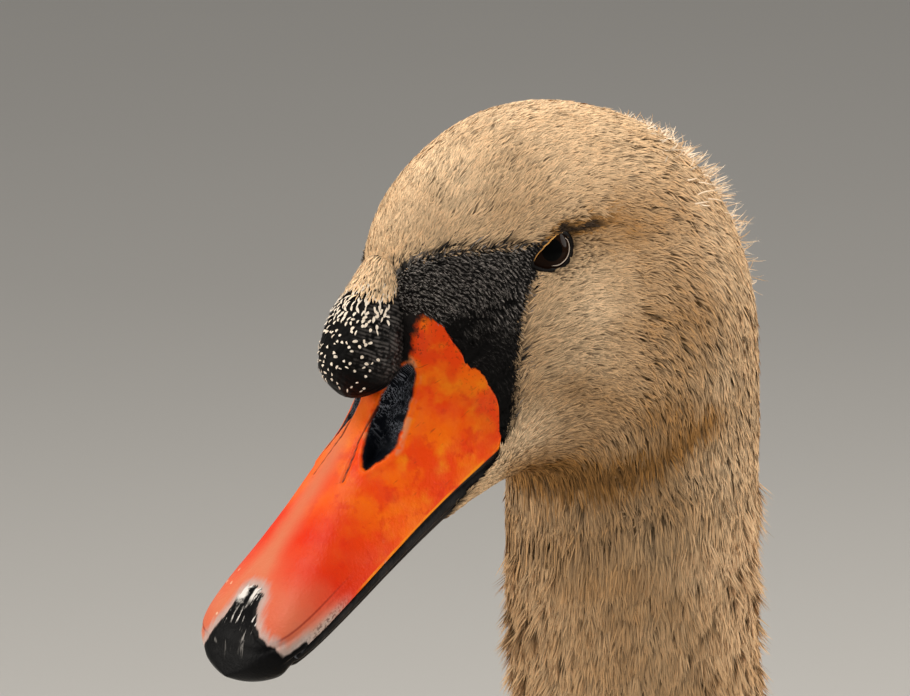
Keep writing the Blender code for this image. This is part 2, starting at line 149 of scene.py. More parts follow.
def sliceAt(t):
    t = np.clip(t, 0, lastSlice)
    i = np.minimum(t.astype(int), lastSlice - 1)
    s = (t - i)[..., None]
    a, b = slices[np.maximum(i - 1, 0)], slices[i]
    c, d = slices[i + 1], slices[np.minimum(i + 2, lastSlice)]
    return 0.5 * (2 * b + (c - a) * s + (2 * a - 5 * b + 4 * c - d) * s**2 + (3 * b - 3 * c + d - a) * s**3)


def outline(t, angle):  # the outer shape of the whole bird; angle is -90 degrees below, 0 left, 90 above
    t, angle = np.broadcast_arrays(np.asarray(t, float), np.asarray(angle, float))
    row = sliceAt(t)
    underF, underZ, backF, backZ, half, level, above, below = (row[..., i] for i in range(8))
    side, rise = np.cos(angle), np.sin(angle)
    roundness = np.where(rise >= 0, above, below)
    across = half * np.sign(side) * np.abs(side) ** (2 / roundness)
    share = np.sign(rise) * np.abs(rise) ** (2 / roundness)
    height = np.where(rise >= 0, level + (1 - level) * share, level + level * share)
    forward = underF + (backF - underF) * height
    up = underZ + (backZ - underZ) * height
    out = np.zeros_like(forward)
    for ahead, over, reach, width in bird["relief"]:
        away = np.hypot(forward - eyeForward - ahead * mm, up - eyeUp - over * mm)
        out = out + reach * mm * np.exp(-((away / (width * mm)) ** 2))
    across = across + out * side
    return np.stack([across, -forward - bird["middleBack"] * mm, np.maximum(up, 0)], -1)


def unit(v):
    return v / np.maximum(np.linalg.norm(v, axis=-1, keepdims=True), 1e-12)


def smooth(low, high, x):
    x = np.clip((x - low) / (high - low), 0, 1)
    return x * x * (3 - 2 * x)


def interp(x, table):
    places, values = zip(*table)
    return np.interp(x, places, values)


def grid(a, b):
    return np.meshgrid(a, b, indexing="ij")


def circle(count):
    return np.linspace(0, 2 * math.pi, count, endpoint=False)


def evened(x):  # all but both ends, each drawn towards its neighbours
    return (x[:-2] + 2 * x[1:-1] + x[2:]) / 4


small = 0.012  # step in which slopes are measured


def tangents(t, angle):  # along the bird, and round it
    along = outline(t + small, angle) - outline(t - small, angle)
    return along, outline(t, angle + small) - outline(t, angle - small)


def normalAt(t, angle):
    return unit(np.cross(*tangents(t, angle)))


def metrics(t, angle):  # metres for one step of the loft, and for one radian
    along, around = (np.linalg.norm(way / (2 * small), axis=-1) for way in tangents(t, angle))
    return np.maximum(along, 0.5 * mm), np.maximum(around, 2 * mm)


# folded wing on the side of the body: place along the loft, lowest and highest angle, thickness in mm
wingTable = np.array((
    (27.0, 24, 46, 3),
    (27.7, 8, 62, 11),
    (28.8, -2, 72, 18),
    (30.5, -8, 79, 22),
    (32.0, -10, 83, 24),
    (33.5, -8, 85.5, 23),
    (35.0, -3, 87, 20),
    (36.2, 8, 88, 16),
    (37.2, 22, 88, 12),
), float)


def wingEdges(t):
    return tuple(np.interp(t, wingTable[:, 0], wingTable[:, i]) for i in (1, 2, 3))


def sideDegrees(angle):  # the same on both sides: -90 below, 90 on top
    degrees = np.degrees((angle + math.pi / 2) % (2 * math.pi)) - 90
    return np.where(degrees > 90, 180 - degrees, degrees)


def wingLift(t, angle):  # how far the folded wing swells out of the body, in metres
    low, high, thick = wingEdges(t)
    share = (sideDegrees(angle) - low) / (high - low)
    inside = (share > 0) & (share < 1)
    ends = smooth(26.8, 27.4, t) * (1 - smooth(37.2, 37.7, t))
    return np.where(inside, thick * np.sin(math.pi * np.clip(share, 0, 1)) ** 0.6, 0) * ends * mm


# eye and lids, in mm
eye = {
    "radius": 8.2,
    "middle": (15.4, -3.7, -1.2),  # of the ball, on the left: out, forward and up from the middle of the head
    "gaze": (0.959, 0.270, 0.084),  # out, forward, up
    # the opening, as degrees round its middle (0 ahead, 90 above) and how far the lid's edge lies from it
    "openingMiddle": (-0.9, -0.6),
    "opening": (
        (-27, 6.0), (-10, 5.0), (15, 3.7), (48, 3.1), (82, 3.5), (118, 4.9), (132, 5.2),
        (145, 5.4), (168, 5.2), (188, 4.9), (228, 4.3), (280, 4.1), (318, 5.2), (333, 6.0),
    ),
    "lidWidth": 1.05,
    "lidHeight": 0.55,
    "edgeGold": (0.85, 0.42, 0.09),
    "crescent": (0.70, 0.58, 0.48),
    "lidProfile": (
        (-0.22, -0.25), (-0.16, 0.12), (-0.02, 0.34), (0.2, 0.55), (0.45, 0.62), (0.7, 0.56), (0.95, 0.40),
        (1.15, 0.20), (1.3, -0.15),
    ),
    "lidColours": ((0.008, 0.007, 0.007), (0.16, 0.14, 0.13)),
    "ball": (0.004, 0.003, 0.003),
    "iris": ((0.008, 0.004, 0.003), (0.018, 0.008, 0.004)),
    "pupil": (0.002, 0.002, 0.002),
}
gaze = np.array(eye["gaze"]) / np.linalg.norm(eye["gaze"])
gazeFore = unit(np.array((-gaze[1], gaze[0], 0.0)))
gazeUp = np.cross(gazeFore, gaze) * (1 if np.cross(gazeFore, gaze)[2] > 0 else -1)


def roundedOpening():  # the lid's edge all round, with its straight pieces rounded where they meet
    turns, reaches = zip(*eye["opening"])
    turn = circle(180)
    reach = np.interp((np.degrees(turn) + 27) % 360 - 27, turns, reaches)
    for _ in range(6):
        reach = (np.roll(reach, 1) + 2 * reach + np.roll(reach, -1)) / 4
    return turn, reach


lidTurns, lidReach = roundedOpening()


def openingRadius(turn):  # turn in radians
    return np.interp(turn, lidTurns, lidReach, period=2 * math.pi)


def fromEye(points):  # mm forward and up from the middle between the eyes
    return (-points[..., 1] - bird["middleBack"] * mm - eyeForward) / mm, (points[..., 2] - eyeUp) / mm


def eyeToSpace(v, side):  # the other way, from mm out, forward and up
    back = -v[..., 1] * mm - eyeForward - bird["middleBack"] * mm
    return np.stack([side * v[..., 0] * mm, back, v[..., 2] * mm + eyeUp], -1)


def fromBall(points):  # mm across the gaze, forward and up, mm out along it, share of the opening
    forward, up = fromEye(points)
    v = np.stack([np.abs(points[..., 0]) / mm, forward, up], -1) - np.array(eye["middle"])
    fore, over, out = v @ gazeFore, v @ gazeUp, v @ gaze
    cx, cy = eye["openingMiddle"]
    ring = np.hypot(fore - cx, over - cy) / openingRadius(np.arctan2(over - cy, fore - cx))
    return fore, over, out, np.where(out > -4, ring, 9.0)


def overBall(fore, over, height, side):  # the other way, to metres in space
    fore, over, height = np.broadcast_arrays(*(np.asarray(a, float) for a in (fore, over, height)))
    flat = np.hypot(fore, over) / eye["radius"]
    deep = np.sqrt(np.maximum(1 - flat**2, 0))
    shrink = 1 / np.maximum(flat, 1)
    way = (fore * shrink)[..., None] * gazeFore / eye["radius"]
    way = way + (over * shrink)[..., None] * gazeUp / eye["radius"]
    v = (way + deep[..., None] * gaze) * (eye["radius"] + height)[..., None] + np.array(eye["middle"])
    return eyeToSpace(v, side)


# how deep the skin lies under the outline, in mm, along the loft
coatDepth = (
    (7, 0.5), (8.5, 0.7), (10, 1.0), (16, 1.5), (18.5, 1.8), (20, 2.2), (22, 3.0), (24.5, 5), (27, 7),
    (36, 7), (39, 5),
)


def depthAt(t):
    return interp(t, coatDepth) * mm


def skinSurface(t, angle, height=0.0):  # height above the skin, in metres
    t, angle = np.broadcast_arrays(np.asarray(t, float), np.asarray(angle, float))
    points, normals = outline(t, angle), normalAt(t, angle)
    points = points + normals * (height - depthAt(t) + 0.86 * wingLift(t, angle))[..., None]
    close = (t > 9) & (t < 15)
    if close.any():  # the skin lies over the ball round the opening, and under it inside the opening
        fore, over, out, ring = fromBall(points[close])
        ball = np.sqrt(np.maximum(eye["radius"] ** 2 - fore**2 - over**2, 0)) + 0.15
        shell = ball - 1.6 * (1 - smooth(0.82, 1.0, ring)) + np.broadcast_to(height, t.shape)[close] / mm
        own = out + (np.maximum(out, ball) - out) * smooth(2.2, 1.6, ring)
        blend = smooth(1.0, 1.5, ring)
        reach = shell * (1 - blend) + own * blend
        v = np.array(eye["middle"]) + fore[:, None] * gazeFore + over[:, None] * gazeUp + reach[:, None] * gaze
        points[close] = eyeToSpace(v, np.sign(points[close][:, 0]))
    points[..., 2] = np.maximum(points[..., 2], 0.4 * mm)
    return points


# markings of the head seen from the side, in mm along and square to the mouth line
marks = {
    "mask": (
        (0.5, 2.6), (3.5, 3.8), (6.0, 5.1), (9.1, 7.5), (13.4, 10.4), (17.5, 12.5), (21.4, 14.4),
        (26.3, 15.8), (29.3, 15.0), (32.2, 13.8), (33.9, 12.0), (36.0, 11.0), (62.0, 18.0), (78.0, -36.0),
        (60.0, -46.0), (54.5, -39.5), (48.0, -37.4), (40.0, -36.6), (36.0, -35.6), (33.4, -35.1),
        (32.4, -34.7), (30.9, -32.5), (28.7, -29.4), (26.4, -26.2), (24.1, -21.6), (21.2, -17.5),
        (18.5, -13.5), (15.4, -9.5), (11.8, -6.2), (7.9, -4.0), (4.0, -3.6), (0.0, -3.0),
    ),
    "plate": (
        (33.8, -34.6), (33.6, -29.7), (31.2, -26.2), (30.2, -22.5), (30.3, -19.1), (29.8, -16.4),
        (30.2, -13.5), (31.9, -11.3), (31.0, -9.2), (31.0, -3.1), (30.5, 0.0), (31.6, 2.4), (32.5, 5.2),
        (40.0, 9.0), (52.0, 20.0),
    ),
    "jaw": ((33.9, -35.0), (40.0, -36.6), (48.0, -37.4), (54.5, -39.5), (61.0, -46.0)),
}
# markings of the bill seen from above, in mm along the mouth line and out from the middle
billMarks = {
    "nostril": (
        (47.7, 3.5), (51.5, 3.2), (55.4, 3.7), (59.7, 5.0), (63.3, 6.5), (65.2, 7.8), (65.5, 8.9),
        (63.5, 9.4), (61.4, 10.1), (58.5, 10.8), (55.7, 10.9), (53.2, 10.4), (49.3, 9.9), (46.0, 9.7),
        (42.9, 9.6), (40.7, 9.4), (39.8, 8.6), (40.6, 7.2), (44.0, 4.6),
    ),
    "opening": (
        (54.5, 5.2), (58.0, 5.4), (62.0, 7.0), (64.6, 8.4), (62.5, 8.8), (59.0, 9.6), (56.0, 9.2),
        (54.0, 7.4),
    ),
    "saddle": (
        (20.0, -2.0), (20.0, 16.0), (31.6, 13.0), (32.5, 12.1), (33.9, 11.1), (35.9, 10.0), (37.7, 8.8),
        (39.9, 7.8), (40.6, 7.2), (44.0, 4.6), (47.0, 3.4), (46.2, 0.0), (46.2, -2.0),
    ),
    "crease": ((51.0, 3.4), (55.4, 3.2), (60.0, 3.3), (62.9, 4.1), (67.5, 5.0), (70.6, 5.5)),
    "nail": (
        (102.2, 0.0), (102.6, 3.1), (104.9, 5.0), (108.0, 5.7), (111.2, 7.2), (113.0, 9.6), (113.6, 12.4),
        (113.0, 16.0), (111.0, 22.0), (130.0, 22.0), (130.0, -2.0), (102.2, -2.0),
    ),
    "nailRight": (
        (102.2, 0.0), (102.6, 2.2), (105.0, 3.1), (108.0, 3.6), (111.2, 4.6), (113.6, 6.2), (115.8, 8.6),
        (117.8, 12.0), (119.4, 18.0), (130.0, 22.0), (130.0, -2.0), (102.2, -2.0),
    ),
}


def distanceTo(polygon, x, y, closed=True):  # distance to an outline, below zero inside it where it is closed
    points = np.array(polygon, float)
    best = np.full(np.shape(x), 1e9)
    inside = np.zeros(np.shape(x), bool)
    pairs = list(zip(points, np.roll(points, -1, axis=0)))
    for (ax, ay), (bx, by) in pairs if closed else pairs[:-1]:
        dx, dy = bx - ax, by - ay
        s = np.clip(((x - ax) * dx + (y - ay) * dy) / (dx * dx + dy * dy), 0, 1)
        best = np.minimum(best, np.hypot(x - ax - s * dx, y - ay - s * dy))
        crosses = (ay > y) != (by > y)
        inside ^= crosses & (x < dx * (y - ay) / (dy if dy else 1e-9) + ax)
    return np.where(inside & closed, -best, best)


def maskDistance(points):
    ahead, up = headPlace(points)
    return distanceTo(marks["mask"], ahead, up)


def waves(seed, size, *place):  # cheap smooth noise over two or three measures, about -1 to 1
    turn = np.random.default_rng(seed)
    total = 0.0
    for i in range(5):
        pace = turn.normal(size=3) / size * (1 + 0.35 * i)
        total = total + np.sin(sum(k * x for k, x in zip(pace, place)) + turn.uniform(0, 6.3)) / (1 + 0.3 * i)
    return total / 2.6


def bump2(x, y, cx, cy, wx, wy):
    return np.exp(-(((x - cx) / wx) ** 2) - ((y - cy) / wy) ** 2)


# stained places on head and neck, partly the plumage's own tan and partly painted light and shade, darkest in
# the painted shadow under the jaw and on the throat: mm forward and up from the eye, reach both ways, strength
stains = (
    # under the jaw the tan is deepened by painted shadow below the cheek
    (-18, -54, 18, 8, 0.34), (-30, -40, 12, 8, 0.34), (-54, -74, 12, 26, -0.17),  # under the jaw
    (-16, 4, 9, 5, 0.24), (-24, -14, 18, 14, 0.144),  # behind the eye
    (-30, 6, 14, 8, 0.30), (-35, -20, 15, 16, 0.30),  # nape
    # the throat patches are partly painted shade along the jaw
    (-6, -38, 12, 7, 0.26), (-16, -68, 12, 14, 0.12),  # throat
    (27, 10, 12, 11, -0.18), (18, 18, 9, 7, -0.162), (2, 32, 34, 11, -0.252),  # paler: forehead and crown,
    (-6, -17, 9, 10, -0.324), (5, -48, 10, 7, -0.342), (7, -84, 11, 26, -0.324),  # cheek, front of the neck
)


def staining(points, t):  # 0 is the whitest plumage, 1 the darkest tan, painted light and shade included
    forward, up = fromEye(points)
    head = 0.44 + 0.16 * smooth(14.5, 18, t)
    for ahead, over, wide, high, strength in stains:
        head = head + strength * bump2(forward, up, ahead, over, wide, high)
    place = np.moveaxis(points, -1, 0)
    patchy = 0.08 * waves(3, 9 * mm, *place) + 0.07 * waves(4, 3 * mm, *place)
    body = bodyShare(t)
    return np.clip(head * (1 - body) + 0.10 * body + patchy * (1 - 0.6 * body), 0, 1)


def bodyShare(t):  # 0 on the head and upper neck, 1 on the whiter body
    return smooth(19.6, 26.5, t)


# mesh and material helpers
def makeMesh(name, points, faces, material, attributes=None, patches=None, normals=None):
    mesh = bpy.data.meshes.new(name)
    points, faces = np.asarray(points, np.float32).reshape(-1, 3), np.asarray(faces, np.int32)
    size = faces.shape[1]
    mesh.vertices.add(len(points))
    mesh.vertices.foreach_set("co", points.ravel())
    mesh.loops.add(faces.size)
    mesh.loops.foreach_set("vertex_index", faces.ravel())
    mesh.polygons.add(len(faces))
    mesh.polygons.foreach_set("loop_start", np.arange(0, faces.size, size, dtype=np.int32))
    mesh.polygons.foreach_set("use_smooth", np.ones(len(faces), bool))
    mesh.update(calc_edges=True)
    for key, values in (attributes or {}).items():
        layer = mesh.attributes.new(key, "FLOAT", "POINT")
        layer.data.foreach_set("value", np.asarray(values, np.float32).ravel())
    if patches is not None:
        layer = mesh.uv_layers.new(name="OFBake")
        layer.data.foreach_set("uv", np.asarray(patches, np.float32)[faces.ravel()].ravel())
    if normals is not None:
        mesh.normals_split_custom_set_from_vertices(np.asarray(normals, np.float32).reshape(-1, 3).tolist())
    mesh.materials.append(material)
    made = bpy.data.objects.new(name, mesh)
    bpy.context.scene.collection.objects.link(made)
    return made


def gridFaces(rows, columns, closed=False, start=0):
    i, j = grid(np.arange(rows - 1), np.arange(columns if closed else columns - 1))
    near, far = start + i * columns, start + (i + 1) * columns
    k = (j + 1) % columns
    return np.stack([near + j, near + k, far + k, far + j], -1).reshape(-1, 4)


def stripFaces(count, rows, columns):  # the same small grid many times
    return (np.arange(count)[:, None, None] * rows * columns + gridFaces(rows, columns)[None]).reshape(-1, 4)


def coatValues(count, along, across, **single):  # single: one value for each feather
    values = {"along": np.tile(along, count), "across": np.tile(across, count)}
    for key, value in single.items():
        values[key] = np.repeat(np.broadcast_to(value, count), len(along))
    return values


def place(piece, slot, *nodes):
    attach(piece, "root")
    if nodes:
        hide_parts(*nodes)
    return piece


class Wire:  # a value in a material that can be added, multiplied and so on
    def __init__(self, nodes, socket):
        self.nodes, self.socket = nodes, socket

    def __add__(self, other):
        return self.nodes.math("ADD", self, other)

    def __mul__(self, other):
        return self.nodes.math("MULTIPLY", self, other)

    def __sub__(self, other):
        return self.nodes.math("SUBTRACT", self, other)

    def __rsub__(self, other):
        return self.nodes.math("SUBTRACT", other, self)

    def __pow__(self, other):
        return self.nodes.math("POWER", self, other)

    def __abs__(self):
        return self.nodes.math("ABSOLUTE", self)

    __radd__, __rmul__ = __add__, __mul__


class Nodes:  # a short way to wire a material
    def __init__(self, name):
        self.material = bpy.data.materials.new(name)
        self.material.use_nodes = True
        self.tree = self.material.node_tree
        self.shader = self.tree.nodes["Principled BSDF"]

    def put(self, socket, value):
        if isinstance(value, Wire):
            self.tree.links.new(value.socket, socket)
        elif isinstance(value, tuple) and socket.type == "RGBA":
            socket.default_value = (*value, 1.0)
        else:
            socket.default_value = value

    def add(self, kind, output, inputs, **settings):
        made = self.tree.nodes.new("ShaderNode" + kind)
        for key, value in settings.items():
            setattr(made, key, value)
        for key, value in inputs.items():
            self.put(made.inputs[key], value)
        return Wire(self, made.outputs[output])

    def look(self, **inputs):  # what the shader is given
        for key, value in inputs.items():
            self.put(self.shader.inputs[key.replace("_", " ")], value)

    def math(self, operation, *values):
        return self.add("Math", 0, dict(enumerate(values)), operation=operation)

    def largest(self, a, b):
        return self.math("MAXIMUM", a, b)

    def value(self, key):
        return self.add("Attribute", "Fac", {}, attribute_name=key)

    def mix(self, factor, a, b):
        return self.add("Mix", 2, {0: factor, 6: a, 7: b}, data_type="RGBA")

    def step(self, low, high, x):
        inputs = {"Value": x, "From Min": low, "From Max": high}
        return self.add("MapRange", 0, inputs, interpolation_type="SMOOTHSTEP")

    def place(self, *scale):  # object coordinates, stretched
        spot = self.add("TexCoord", "Object", {})
        return self.add("VectorMath", 0, {0: spot, 1: scale}, operation="MULTIPLY")

    def join(self, x, y, z=0.0):
        return self.add("CombineXYZ", 0, {0: x, 1: y, 2: z})

    def noise(self, scale, detail=3.0, vector=None):
        vector = vector or self.place(1, 1, 1)
        return self.add("TexNoise", "Fac", {"Vector": vector, "Scale": scale, "Detail": detail})

    def cells(self, scale, vector=None):
        return self.add("TexVoronoi", "Distance", {"Vector": vector or self.place(1, 1, 1), "Scale": scale})

    def bump(self, height, strength, distance):
        return self.add("Bump", "Normal", {"Height": height, "Strength": strength, "Distance": distance})


plumageColours = {
    "white": (0.90, 0.665, 0.42),
    "tan": (0.38, 0.188, 0.055),
    "body": (0.80, 0.73, 0.62),
    # painted shade colour for the crease behind the eye and the groove under the jaw
    "crease": (0.050, 0.031, 0.018),
    "rootShade": 0.42,  # how dark a fine feather is where the next ones cover it
    "vaneShade": 0.62,
    "edgeShade": 0.80,  # and along the edges of the finest ones
    "velvet": (0.0035, 0.003, 0.003),
    # painted highlight on the crests of the mask's wrinkles
    "velvetHighlight": (0.44, 0.40, 0.37),
}


def plumageMaterial(name, barbs):
    n = Nodes(name)
    colours = plumageColours
    along, tone, stain, mask, body, across = (
        n.value(key) for key in ("along", "tone", "stain", "mask", "body", "across")
    )
    edge = abs(across) ** 2.6
    warm = n.mix(stain + (tone - 0.5) * 0.16, n.mix(body, colours["white"], colours["body"]), colours["tan"])
    # where the painted shade lifts the value past 1 the plumage turns to the crease's shade colour
    warm = n.mix(n.step(1.0, 1.7, stain), warm, colours["crease"])
    darkest = colours["vaneShade"] if barbs else colours["rootShade"]
    shade = n.step(0.0, 0.75, along) * (1 - darkest) + darkest
    if barbs:
        shade = shade * (tone * 0.14 + 0.93)
        lines = n.math("SINE", along * 260.0 - abs(across) * 46.0)
        relief = n.bump(lines + n.noise(900.0, 2.0), 0.35, 0.0004)
    else:
        shade = shade * (n.math("SQRT", tone) * 1.05 + 0.36) * (1.0 - edge * colours["edgeShade"])
        relief = n.bump(n.noise(1600.0, 2.0), 0.25, 0.0003)
    shaded = n.add("VectorMath", 0, {0: warm, "Scale": shade}, operation="SCALE")
    # the velvet's pale tips are a painted highlight
    velvet = n.mix(tone**3.0 * (1.0 - edge), colours["velvet"], colours["velvetHighlight"])
    colour = n.mix(n.step(-0.30, 0.12, mask), velvet, shaded)
    n.look(Base_Color=colour, Roughness=0.68, Specular_IOR_Level=0.14, Normal=relief)
    return n.material


downMaterial = plumageMaterial("Fine plumage", False)
vaneMaterial = plumageMaterial("Feather vanes", True)
print("materials ready")


# skin under the whole coat
skinMesh = {"start": 6.2, "headRows": 190, "bodyRows": 100, "around": 168}


eyeLines = {  # mm forward and up from the eye
    "crease": ((-4.2, 3.4), (-9.0, 3.9), (-14.0, 5.3), (-21.0, 8.0)),
    "brow": ((5.0, -3.6), (1.4, 0.8), (-1.8, 3.6), (-4.8, 5.0)),
    "groove": ((6, -56), (-6, -57.5), (-14, -57), (-24, -54.5), (-36, -50), (-48, -43)),
}


def eyeShade(points):  # painted shade: the dark crease that runs back from the eye, a dark line along the brow, and the groove under the jaw
    forward, up = fromEye(points)

    def near(line, width):
        return np.exp(-(distanceTo(eyeLines[line], forward, up, False) / width) ** 2)

    crease = 1.2 * near("crease", 1.4) * smooth(-21, -8, forward)
    return crease + 0.8 * near("brow", 0.9) + 0.46 * near("groove", 3.6)


def buildSkin():
    head = np.linspace(skinMesh["start"], 18, skinMesh["headRows"], endpoint=False)
    t = np.concatenate([head, np.linspace(18, lastSlice, skinMesh["bodyRows"])])
    angle = np.linspace(-0.5, 1.5, skinMesh["around"], endpoint=False) * math.pi
    tt, aa = grid(t, angle)
    points = skinSurface(tt, aa)
    under = (1 - smooth(8.0, 9.4, tt)) * 1.2 + smooth(8.35, 7.7, tt) * 5.0  # deep below the horn
    points = points - normalAt(tt, aa) * (under * mm)[..., None]

    def drawn(ring, *shares):  # both ends are drawn together to a point
        middle = ring.mean(0)
        return np.array([middle + (ring - middle) * share for share in shares])

    points = np.concatenate([drawn(points[0], 0.02, 0.6), points, drawn(points[-1], 0.6, 0.02)])
    tt = np.concatenate([tt[:1], tt[:1], tt, tt[-1:], tt[-1:]])
    aa = np.concatenate([aa[:2], aa, aa[-2:]])
    faces = gridFaces(*tt.shape, closed=True)[:, ::-1]
    points, tt = points.reshape(-1, 3), tt.ravel()
    mask = maskDistance(points)
    attributes = {
        # the skin takes the painted shade of a covered feather root
        "along": np.full(len(points), 0.42),
        "tone": np.where(mask < 0.4, 0.05, 0.45),
        "across": np.zeros(len(points)),
        "body": bodyShare(tt),
        "stain": staining(points, tt) + eyeShade(points),
        "mask": mask,
    }
    patches = np.stack([(aa.ravel() / math.pi + 0.5) / 2, tt / lastSlice], -1)
    return makeMesh("skin", points, faces, downMaterial, attributes, patches)


place(buildSkin(), "plumage", "head", "neck_upper", "neck_middle", "neck_lower", "chest", "trunk", "rump")
print("skin made")


# fine plumage: narrow blades that lie along the skin and gather into little locks
def scatter(count, low, high, weight):  # roots spread evenly over the skin
    t = np.linspace(low, high, 260)
    angle = np.radians(np.linspace(-90, 270, 361))
    tt, aa = grid((t[1:] + t[:-1]) / 2, (angle[1:] + angle[:-1]) / 2)
    alongSize, roundSize = metrics(tt, aa)
    share = np.maximum(alongSize * roundSize * weight(tt, aa), 0).ravel()
    pick = rng.choice(share.size, count, p=share / share.sum())
    t0 = tt.ravel()[pick] + rng.uniform(-0.5, 0.5, count) * (t[1] - t[0])
    return t0, aa.ravel()[pick] + rng.uniform(-0.5, 0.5, count) * (angle[1] - angle[0])


def nearest(t, angle, clumpT, clumpA):
    points, centres = outline(t, angle), outline(clumpT, clumpA)
    tree = KDTree(len(centres))
    for i, co in enumerate(centres):
        tree.insert(co, i)
    tree.balance()
    return np.array([tree.find(co)[1] for co in points])


def patchesAt(t, angle, corners):  # each tuft's patch at its root's place on the unwrapped skin
    patch = np.stack([((angle / math.pi + 0.5) / 2) % 1.0, t / lastSlice], -1)
    return (patch[:, None, :] + np.asarray(corners)[None] * 0.0015).reshape(-1, 2)


def lanes(spec, angle, roundSize, forward, up):  # fine dark lines that run along the lie of the plumage
    beside = np.where(np.cos(angle) >= 0, angle, math.pi - angle) * roundSize / mm
    beside = beside + 0.9 * waves(55, 7.0, forward, up) + 0.25 * waves(56, 2.0, forward, up)
    trough = (0.5 - 0.5 * np.cos(2 * math.pi * beside / spec["lane"])) ** 2
    return 1 - trough * spec["laneDepth"](forward, up)


def blades(name, spec, weight):
    count = spec["count"]
    t, angle = scatter(count, *spec["range"], weight)
    clumpT, clumpA = scatter(spec["locks"], *spec["range"], weight)
    locks = len(clumpT)
    lock = nearest(t, angle, clumpT, clumpA)
    lockTurn = rng.normal(0, spec["lockTurn"], locks)[lock]
    lockLift = rng.gamma(2.0, 0.5, locks)
    strayShare, strayLift = spec["stray"]
    lockLift = (lockLift + strayLift * (rng.uniform(0, 1, locks) < strayShare))[lock]
    lockTone = rng.uniform(0, 1, locks)[lock]
    root = skinSurface(t, angle)
    forward, up = fromEye(root)
    ring, mask = fromBall(root)[3], maskDistance(root)
    inside, byEye = mask < 0, ring < 9
    crest = spec["crest"](t, angle) if "crest" in spec else None
    keep = ring > np.where(forward < -2, 1.12, np.where(inside, 1.22, 1.38))
    length = interp(t, spec["lengths"]) * rng.uniform(0.75, 1.2, count) * mm
    shorter = np.where(byEye, 0.28 + 0.72 * smooth(1.2, 3.0, ring), 1)
    length *= shorter * np.where(inside, spec["maskLength"], 1)
    width = interp(t, spec["widths"]) * rng.uniform(0.75, 1.25, count) * mm
    width = width * np.where(inside, spec["maskWidth"], 1)
    alongSize, roundSize = metrics(t, angle)
    heading = spec["heading"](t, angle, forward, up) + lockTurn + rng.normal(0, spec["turn"], count)
    pull = spec["pull"] * np.where(inside, 0.3, 1)  # towards the middle of its lock
    stepT = length * np.cos(heading) / alongSize + pull * (clumpT[lock] - t)
    stepA = length * np.sin(heading) / roundSize + pull * (clumpA[lock] - angle)
    lift = spec["lift"](t, angle, forward, up) * mm * (0.35 + 0.65 * lockLift) * rng.uniform(0.6, 1.3, count)
    lift = lift * np.where(byEye, smooth(1.2, 2.6, ring) * 0.75 + 0.25, 1) * np.where(inside, 0.35, 1)
    lift = lift if crest is None else lift * (0.3 + 1.0 * crest)
    roll = rng.normal(0, 0.35, count)[:, None]
    rows = []
    for share, wide, rise in ((0.0, 0.8, -0.25), (0.55, 1.0, 0.78), (1.0, 0.0, 1.0)):  # root, belly and tip
        at = (t + stepT * share, angle + stepA * share)
        out = normalAt(*at)
        height = depthAt(t) * rise * 0.9 + lift * share**2
        rows.append((skinSurface(*at) + out * height[:, None], out, wide))
    heads = unit(rows[2][0] - rows[0][0])
    points, normals = [], []
    for at, out, wide in rows:
        side = unit(np.cross(out, heads))
        facing = 0.55 * out + 0.45 * unit(np.cross(heads, side + out * roll))
        for sign in (-1, 1) if wide else (0,):
            points.append(at + (side + out * roll) * (sign * wide * width / 2)[:, None])
            normals.append(facing + (0.35 * sign * side if wide else 0.25 * heads))
    points, normals = np.stack(points, 1)[keep], unit(np.stack(normals, 1)[keep])
    points[..., 2] = np.maximum(points[..., 2], 0.3 * mm)
    n = len(points)
    base = np.arange(n)[:, None] * 5
    faces = np.concatenate([base + [0, 3, 1], base + [0, 2, 3], base + [2, 4, 3]])
    tone = 0.20 * lockTone + 0.80 * rng.uniform(0, 1, count)
    if spec.get("lane"):
        tone = np.clip(tone * 1.12, 0, 1) * lanes(spec, angle, roundSize, forward, up)
    # on the mask the tone is a painted highlight on each wrinkle's crest, stronger higher up
    if crest is not None:
        tone = np.clip(crest**2 * rng.uniform(0.5, 1.2, count) * (0.40 + 0.60 * smooth(-26, -10, up)), 0, 1)
    wobble = mask[keep] + rng.normal(0, 0.45, n)  # a ragged border of the mask
    wobble = np.where(np.abs(mask[keep]) > 1.6, 3.0 * np.sign(mask[keep]), wobble)
    stain = (staining(root, t) + eyeShade(root))[keep]
    single = {"tone": tone[keep], "body": bodyShare(t[keep]), "stain": stain, "mask": wobble}
    attributes = coatValues(n, [0.0, 0.0, 0.6, 0.6, 1.0], [-1.0, 1.0, -1.0, 1.0, 0.0], **single)
    uv = patchesAt(t[keep], angle[keep], [(-1, -1), (1, -1), (-1, 0), (1, 0), (0, 1)])
    place(makeMesh(name, points, faces, downMaterial, attributes, uv, normals), "plumage")


def onCoat(t, angle):  # 1 where there is feathering, 0 on the bill
    ahead, up = headPlace(outline(t, angle))
    plate, jaw = np.array(marks["plate"], float), np.array(marks["jaw"], float)
    behindPlate = ahead < np.interp(up, plate[:, 1], plate[:, 0]) - 0.15
    behindJaw = ahead < np.interp(-up, -jaw[:, 1], jaw[:, 0]) - 0.15
    return np.where(t > 11.5, 1.0, np.where(up > bird["mouthLevel"], behindPlate, behindJaw).astype(float))


def inMask(t, angle):
    return (maskDistance(outline(t, angle)) < 0) * onCoat(t, angle)


def outsideMask(t, angle):
    _, up = headPlace(outline(t, angle))
    return (maskDistance(outline(t, angle)) > np.where(up < -31, 0.75, -0.6)) * onCoat(t, angle)


def faceHeading(t, angle, forward, up):  # the lie of the head's plumage, in radians from straight back
    side = np.where(np.cos(angle) >= 0, 1.0, -1.0)
    swirl = 0.30 * bump2(forward, up, 10, 12, 16, 12)
    cheek = -0.25 * bump2(forward, up, -10, -18, 18, 16)
    wander = 0.20 * waves(21, 7, forward, up, side * 9)
    return side * (swirl + cheek + wander)


